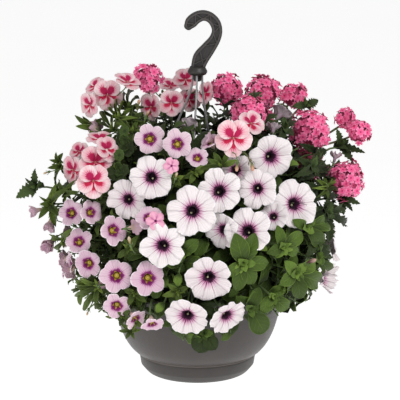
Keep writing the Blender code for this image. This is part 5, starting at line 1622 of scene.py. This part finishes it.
def star_pattern(draw, number):
    """A verbena floret of unit radius in one closed skin: five broad notched lobes over a short tube."""
    reaches = (0.54, 0.97, 0.86, 1.0)
    tilts = drawn(draw, 5, -0.16, 0.24)
    sizes = drawn(draw, 5, 0.86, 1.08)

    def place(u, v):
        step = round(u * 20)
        level = round(v * 3)
        lobe = (step // 4) % 5
        reach, height = 0.0, 0.0
        if level == 1:
            reach = reaches[step % 4] * (sizes[lobe] if step % 4 else 1.0)
            height = (tilts[lobe] + 0.08) * reach - 0.14 * reach**3 if step % 4 else -0.06
        elif level == 2:
            reach, height = 0.15, -0.16
        elif level == 3:
            height = -0.9
        return swung(-TURN * u, reach, height)

    shape = sheet(20, 3, place)
    for edge in shape.edges:
        edge.smooth = edge.calc_face_angle(0.0) < math.radians(60)
    return kept(shape, f"verbena_floret_{number}")


def make_verbenas(chosen):
    """The domed heads of star florets, each on its own slim tube from the close-set middle of the head."""
    draw = random.Random(6)
    front = verbena_petal(chosen.verbena_pink)
    green = stalky("verbena_stalk_green", chosen.stalk_green, (0.10, 0.02, 0.03))
    calyx = stalky("verbena_calyx_crimson", (0.46, 0.020, 0.120), (0.22, 0.020, 0.050))
    patterns = [star_pattern(draw, number) for number in range(6)]
    stalks = Bench()
    nodes = []
    for name, _, ((point, facing, radius),), _ in clusters("verbena_head", HEADS, HEADS_BACK):
        nodes.append(name)
        blooms = Bench()
        middle = point - facing * 0.45 * radius
        turn = facing.to_track_quat("Z", "Y").to_matrix()
        seed = Vector((draw.uniform(0, 50), 0, 0))
        floret = 0.0060 + 0.060 * radius
        count = int(HEAD_COVER * TURN * (1 - HEAD_LOWEST) * radius**2 / (math.pi * floret**2))
        for k in range(count):
            level = 1 - (1 - HEAD_LOWEST) * (k + draw.uniform(0.1, 0.9)) / count
            out = math.sqrt(1 - level * level)
            spin = GOLDEN_TURN * k + draw.uniform(-0.3, 0.3)
            way = turn @ swung(spin, out, level)
            sunk = draw.random() < SUNK_SHARE
            lump = 1 + 0.26 * noise.noise(seed + way * 2.2)
            reach = draw.uniform(0.78, 0.88) if sunk else draw.uniform(0.92, 1.02) * lump
            place = middle + way * radius * reach
            matrix = facing_matrix(place, (way + chance(draw, 0.28)).normalized())
            matrix = matrix @ Matrix.Rotation(draw.uniform(0, TURN), 4, "Z")
            size = floret * draw.uniform(0.84, 1.12)
            # Painted shade: sunk florets get a low tone, the others a high one
            tone = draw.uniform(0.3, 0.6) if sunk else draw.uniform(0.8, 1.0)
            blooms.stamp(draw.choice(patterns), matrix @ Matrix.Scale(size, 4), tone)
        blooms.add(bead(middle, 0.78 * radius, 1.0, 1, around=16))
        foot = middle - facing * 0.35 * radius
        plant = PLANTS["verbena_plant" if foot.x > 0 else "pelargonium_plant"]
        add_stalk(stalks, foot, facing, plant, draw, 0.0015)
        BLOOM_TREES.append(blooms.tree())
        blooms.piece(name.replace("head", "florets"), [front, calyx], "verbena_petal", name)
    stalks.piece("verbena_stalks", [green], "leaf", *nodes)


def painted_depth_light(point, draw):
    """How lit a leaf is painted: painted shade makes it dark inside the mound, and it is lighter towards its
    outside.
    """
    share = math.hypot(point.x / MOUND_ACROSS, point.y / MOUND_DEEP) / max(girth(point.z), 0.15)
    return min(max(0.78 * ease(share, 0.62, 1.03) + draw.uniform(-0.16, 0.16), 0.0), 1.0)


def add_shoot(bench, patterns, kind, route, draw, start, size):
    """Leaves up a stem, thickest towards its tip, with a tight tuft at the end."""
    form = LEAVES[kind]
    lengths = [(b - a).length for a, b in zip(route, route[1:])]
    total = sum(lengths)
    spin = draw.uniform(0, TURN)
    travelled = start * total
    while travelled < total:
        share = travelled / total
        rest = travelled
        index = 0
        while index < len(lengths) - 1 and rest > lengths[index]:
            rest -= lengths[index]
            index += 1
        root = route[index].lerp(route[index + 1], min(rest / lengths[index], 1.0))
        along = (route[index + 1] - route[index]).normalized()
        pair = (0.0, math.pi) if kind == "verbena" else (0.0,)
        young = ease(share, 0.90, 1.0)
        for extra in pair:
            turn = Matrix.Rotation(spin + extra, 3, along)
            out = turn @ along.orthogonal().normalized()
            opening = 0.95 - 0.45 * young
            way = out * opening + along * (1.15 - opening) + Vector((0, 0, 0.10))
            length = form["length"] * size * draw.uniform(0.72, 1.12) * (1 - 0.45 * young)
            # Painted shade deep in the mound; young leaves are paler
            shade = min(painted_depth_light(root + way * length * 0.6, draw) + 0.12 * young, 1.0)
            stem = root
            if kind == "pelargonium":
                stem = root + (way + upright(0.6)).normalized() * draw.uniform(0.012, 0.026)
                bench.add(tube([root, root.lerp(stem, 0.5), stem], (0.0009, 0.0007), 5, STEM_FINISH))
                way = out + upright(-0.15)
            up = along + upright(0.5) if kind != "pelargonium" else upright(1) + out * 0.7
            add_leaf(bench, patterns, stem, way, up, length, length * form["slim"], shade, draw)
        spin += math.pi / 2 if kind == "verbena" else GOLDEN_TURN
        travelled += form["spacing"] * size * draw.uniform(0.85, 1.15) * (1 - 0.45 * young)


def add_rosette(bench, patterns, place, draw):
    """The leaves of a rosette that is set out on the grid, with smaller young leaves in its middle."""
    column, row, stand_off, kind, light, tips = place
    centre = on_mound(column, row, stand_off - ROSETTE_SINK)
    outwards = Vector((centre.x, centre.y, 0.3 * (centre.z - MOUND_WAIST))).normalized()
    up = outwards * 0.5 - sight(column, row)
    size = 0.0
    for tip_column, tip_row, width in tips:
        tip = on_mound(tip_column, tip_row, stand_off)
        way = tip - centre
        size = max(size, way.length)
        # Painted light from the rosette's value, and painted shade on leaves that point downwards
        tone = min(0.92 * light + draw.uniform(-0.28, 0.12) - (0.12 if tip_row < row else 0.0), 1.0)
        add_leaf(bench, patterns[kind], centre, way, up, way.length, width * STEP, max(tone, 0.0), draw, True)
    form = LEAVES[kind]
    size = min(size, form["length"])
    for k in range(3 if kind == "pelargonium" else 7):
        turn = Matrix.Rotation(GOLDEN_TURN * k, 3, outwards)
        way = turn @ outwards.orthogonal().normalized() * (1.0 - 0.10 * k) + outwards * (0.35 + 0.14 * k)
        length = size * (0.56 - 0.05 * k)
        tone = min(light + draw.uniform(-0.1, 0.2), 1.0)
        add_leaf(bench, patterns[kind], centre, way, up, length, length * form["slim"], tone, draw)
    return centre, outwards


def crown_spot(plant):
    return polar(mid_bearing(plant), CROWN_DISTANCE, SOIL_TOP)


def make_plant(name, fine, coarse, finishes):
    """A plant's shoots from its crown out to the mound, with the rosettes that are seen in front."""
    plant = PLANTS[name]
    kind = plant["leaf"]
    draw = random.Random(sum(map(ord, name)))
    bench = Bench()
    crown = crown_spot(plant)
    neck = [crown - upright(0.02), crown, crown + upright(0.02)]
    bench.add(tube(neck, (0.0058, 0.0050), 10, STEM_FINISH))
    for place in ROSETTES.get(name, ()):
        centre, outwards = add_rosette(bench, fine, place, draw)
        start = crown + Vector((draw.uniform(-0.004, 0.004), draw.uniform(-0.004, 0.004), 0.010))
        arrive = centre - outwards * 0.045 + upright(0.010)
        route = bent(start, start + upright(0.06), arrive, centre, 12)
        bench.add(tube(route, (0.0022, 0.0013), 6, STEM_FINISH))
        add_shoot(bench, coarse[place[3]], place[3], route, draw, 0.45, 0.9)
    count = plant["shoots"]
    for k in range(count):
        share = (k + 0.5) / count
        turn = (k * GOLDEN_SHARE + FIRST_SHARE) % 1.0
        bearing = plant["from"] + (plant["to"] - plant["from"]) * turn
        height = SHOOT_LOWEST + SHOOT_RISE * share + draw.uniform(-0.015, 0.015)
        side = bearing + draw.uniform(-8, 8)
        tip, facing = set_behind(side, height, 0.3, draw.uniform(*SHOOT_STAND_OFF))
        start = crown + Vector((draw.uniform(-0.004, 0.004), draw.uniform(-0.004, 0.004), 0.008))
        leave = start + polar(bearing, 0.02, 0.04 + 0.07 * share)
        arrive = tip - facing * 0.035 + upright(0.035 if height < 0.2 else 0.0)
        route = [
            spot for spot in bent(start, leave, arrive, tip, 12)
            if inside(seen_at(spot), LEAF_OUTLINE) and hides_none(spot)
        ]
        if len(route) < 5:
            continue
        bench.add(tube(route, (0.0018, 0.0010), 5, STEM_FINISH))
        add_shoot(bench, coarse[kind], kind, route, draw, 0.30, 1.0)
    bench.piece(name + "_leaves", finishes, "leaf", name)


def make_plants(chosen):
    """The five plants' leaves and stems."""
    draw = random.Random(7)
    fine = {kind: leaf_patterns(kind, draw, "fine") for kind in LEAF_KINDS}
    coarse = {kind: leaf_patterns(kind, draw) for kind in LEAF_KINDS}
    finishes = [
        # Each leaf's green and vein count, then the lit green that painted light and young growth bring
        leafy("petunia_leaf_green", chosen.petunia_leaf, 7, (0.165, 0.260, 0.040)),
        leafy("calibrachoa_leaf_green", chosen.calibrachoa_leaf, 5, (0.190, 0.270, 0.042)),
        leafy("verbena_leaf_green", chosen.verbena_leaf, 8, (0.075, 0.120, 0.028)),
        leafy("pelargonium_leaf_green", chosen.pelargonium_leaf, 7, (0.090, 0.150, 0.030), False),
        stalky("stem_green", chosen.stalk_green, (0.035, 0.060, 0.016)),
    ]
    for name in PLANTS:
        make_plant(name, fine, coarse, finishes)


def soft_light(name, place, aim, width, power):
    """A square lamp with soft edges."""
    lamp = bpy.data.lights.new(name, "AREA")
    lamp.size = width
    lamp.energy = power
    made = bpy.data.objects.new(name, lamp)
    bpy.context.scene.collection.objects.link(made)
    made.location = place
    made.rotation_euler = (aim - place).to_track_quat("-Z", "Y").to_euler()


def make_stage(chosen):
    """The pale floor under the hanging basket, the studio light and the camera."""
    scene = bpy.context.scene
    floor = bmesh.new()
    bmesh.ops.create_grid(floor, x_segments=1, y_segments=1, size=chosen.floor_size / 2)
    bmesh.ops.translate(floor, verts=floor.verts, vec=FOOT - upright(chosen.floor_drop))
    mesh = kept(floor, "studio_floor")
    paper = Finish("studio_paper", 0.9)
    paper.paint((0.90, 0.90, 0.90), (paper.noise(2.0), (0.93, 0.93, 0.93)))
    paper.shader.inputs["Emission Color"].default_value = (1.0, 1.0, 1.0, 1.0)
    paper.shader.inputs["Emission Strength"].default_value = chosen.floor_glow
    mesh.materials.append(paper.material)
    made = bpy.data.objects.new("studio_floor", mesh)
    scene.collection.objects.link(made)
    world = bpy.data.worlds.new("studio_white")
    world.use_nodes = True
    world.node_tree.nodes["Background"].inputs["Color"].default_value = (1.0, 1.0, 1.0, 1.0)
    world.node_tree.nodes["Background"].inputs["Strength"].default_value = chosen.ambient
    scene.world = world
    scene.view_settings.view_transform = "Standard"
    middle = FOOT + TARGET
    for name, off, width, share in LAMPS:
        soft_light(name, middle + Vector(off), middle, width, chosen.key_power * share)
    lens = bpy.data.cameras.new("camera")
    lens.lens = lens.sensor_width * SIGHT_DISTANCE / (PICTURE_STEPS * STEP)
    lens.shift_x = TARGET_OFF[0] / PICTURE_STEPS
    lens.shift_y = -TARGET_OFF[1] / PICTURE_STEPS
    camera = bpy.data.objects.new("camera", lens)
    scene.collection.objects.link(camera)
    camera.location = middle - FORWARD * SIGHT_DISTANCE
    camera.rotation_euler = FORWARD.to_track_quat("-Z", "Y").to_euler()
    scene.camera = camera


def colour_choice(name, default):
    """A colour that the panel shows."""
    return bpy.props.FloatVectorProperty(
        name=name, description=name + " of the basket, in linear colour", subtype="COLOR", size=3, min=0.0,
        max=1.0, default=default,
    )


def number_choice(name, description, default, **limits):
    """A number that the panel shows."""
    return bpy.props.FloatProperty(name=name, description=description, default=default, **limits)


class BasketSettings(bpy.types.PropertyGroup):
    """The colours and sizes that a user would change."""

    bowl_grey: colour_choice("Bowl grey", (0.049, 0.041, 0.037))
    hanger_grey: colour_choice("Hanger grey", (0.027, 0.024, 0.023))
    strand_grey: colour_choice("Strand grey", (0.300, 0.295, 0.300))
    soil_brown: colour_choice("Soil brown", (0.030, 0.018, 0.011))
    petunia_white: colour_choice("Petunia white", (0.900, 0.850, 0.850))
    petunia_blush: colour_choice("Petunia blush", (0.800, 0.690, 0.710))
    petunia_throat: colour_choice("Petunia throat", (0.042, 0.004, 0.028))
    calibrachoa_pink: colour_choice("Calibrachoa pink", (0.770, 0.580, 0.650))
    calibrachoa_ring: colour_choice("Calibrachoa ring", (0.185, 0.004, 0.115))
    calibrachoa_eye: colour_choice("Calibrachoa eye", (0.600, 0.420, 0.040))
    pelargonium_pink: colour_choice("Pelargonium pink", (0.820, 0.500, 0.535))
    pelargonium_blotch: colour_choice("Pelargonium blotch", (0.540, 0.006, 0.050))
    verbena_pink: colour_choice("Verbena pink", (0.960, 0.110, 0.300))
    petunia_leaf: colour_choice("Petunia leaf", (0.080, 0.140, 0.018))
    calibrachoa_leaf: colour_choice("Calibrachoa leaf", (0.080, 0.125, 0.017))
    pelargonium_leaf: colour_choice("Pelargonium leaf", (0.050, 0.085, 0.016))
    verbena_leaf: colour_choice("Verbena leaf", (0.045, 0.072, 0.019))
    stalk_green: colour_choice("Stalk green", (0.110, 0.180, 0.040))
    petal_thickness: number_choice(
        "Petal thickness", "Thickness of every petal", 0.0005, unit="LENGTH", min=0.0002,
    )
    leaf_thickness: number_choice(
        "Leaf thickness", "Thickness of every leaf", 0.0006, unit="LENGTH", min=0.0002,
    )
    floor_drop: number_choice("Floor drop", "How far the floor lies below the foot", 0.45, unit="LENGTH")
    floor_size: number_choice("Floor size", "Width of the floor", 40.0, unit="LENGTH")
    floor_glow: number_choice("Floor glow", "Light the floor gives", 0.60)
    ambient: number_choice("Ambient", "Strength of the white surroundings", 0.38)
    key_power: number_choice("Key light", "Power of the main lamp", 27.0, unit="POWER")


class BASKET_OT_stage(bpy.types.Operator):
    """Lay the floor, hang the lights and place the camera"""

    bl_idname = "basket.make_stage"
    bl_label = "Stage and camera"

    def execute(self, context):
        make_stage(context.scene.basket)
        return {"FINISHED"}


class BASKET_OT_pot(bpy.types.Operator):
    """Turn the bowl and its saucer and fill the bowl with soil"""

    bl_idname = "basket.make_pot"
    bl_label = "Bowl, saucer and soil"

    def execute(self, context):
        make_pot(context.scene.basket)
        return {"FINISHED"}


class BASKET_OT_hanger(bpy.types.Operator):
    """Mould the hook and the three strands"""

    bl_idname = "basket.make_hanger"
    bl_label = "Hook and strands"

    def execute(self, context):
        make_hanger(context.scene.basket)
        return {"FINISHED"}


class BASKET_OT_petunias(bpy.types.Operator):
    """Open the petunia blooms on their stalks"""

    bl_idname = "basket.make_petunias"
    bl_label = "Petunia blooms"

    def execute(self, context):
        make_petunias(context.scene.basket)
        return {"FINISHED"}


class BASKET_OT_calibrachoas(bpy.types.Operator):
    """Open the calibrachoa blooms on their stalks"""

    bl_idname = "basket.make_calibrachoas"
    bl_label = "Calibrachoa blooms"

    def execute(self, context):
        make_calibrachoas(context.scene.basket)
        return {"FINISHED"}


class BASKET_OT_pelargoniums(bpy.types.Operator):
    """Open the pelargonium florets on their umbels"""

    bl_idname = "basket.make_pelargoniums"
    bl_label = "Pelargonium umbels"

    def execute(self, context):
        make_pelargoniums(context.scene.basket)
        return {"FINISHED"}


class BASKET_OT_verbenas(bpy.types.Operator):
    """Fill the verbena heads with star florets"""

    bl_idname = "basket.make_verbenas"
    bl_label = "Verbena heads"

    def execute(self, context):
        make_verbenas(context.scene.basket)
        return {"FINISHED"}


class BASKET_OT_plants(bpy.types.Operator):
    """Grow the leaves and stems of the five plants round the blooms"""

    bl_idname = "basket.make_plants"
    bl_label = "Leaves and stems"

    def execute(self, context):
        make_plants(context.scene.basket)
        return {"FINISHED"}


OPERATORS = (
    BASKET_OT_stage, BASKET_OT_pot, BASKET_OT_hanger, BASKET_OT_petunias, BASKET_OT_calibrachoas,
    BASKET_OT_pelargoniums, BASKET_OT_verbenas, BASKET_OT_plants,
)


class BASKET_PT_panel(bpy.types.Panel):
    """Lists the basket's pieces and its settings"""

    bl_idname = "BASKET_PT_panel"
    bl_label = "Flowering hanging basket"
    bl_space_type = "VIEW_3D"
    bl_region_type = "UI"
    bl_category = "Basket"

    def draw(self, context):
        for operator in OPERATORS:
            self.layout.operator(operator.bl_idname)
        for choice in BasketSettings.__annotations__:
            self.layout.prop(context.scene.basket, choice)


CLASSES = (BasketSettings, *OPERATORS, BASKET_PT_panel)


def register():
    for item in CLASSES:
        bpy.utils.register_class(item)
    bpy.types.Scene.basket = bpy.props.PointerProperty(type=BasketSettings)


def unregister():
    del bpy.types.Scene.basket
    for item in reversed(CLASSES):
        bpy.utils.unregister_class(item)


def main():
    """Registers the add-on and makes every piece in order."""
    register()
    for operator in OPERATORS:
        _, name = operator.bl_idname.split(".")
        getattr(bpy.ops.basket, name)()


if __name__ == "__main__":
    main()
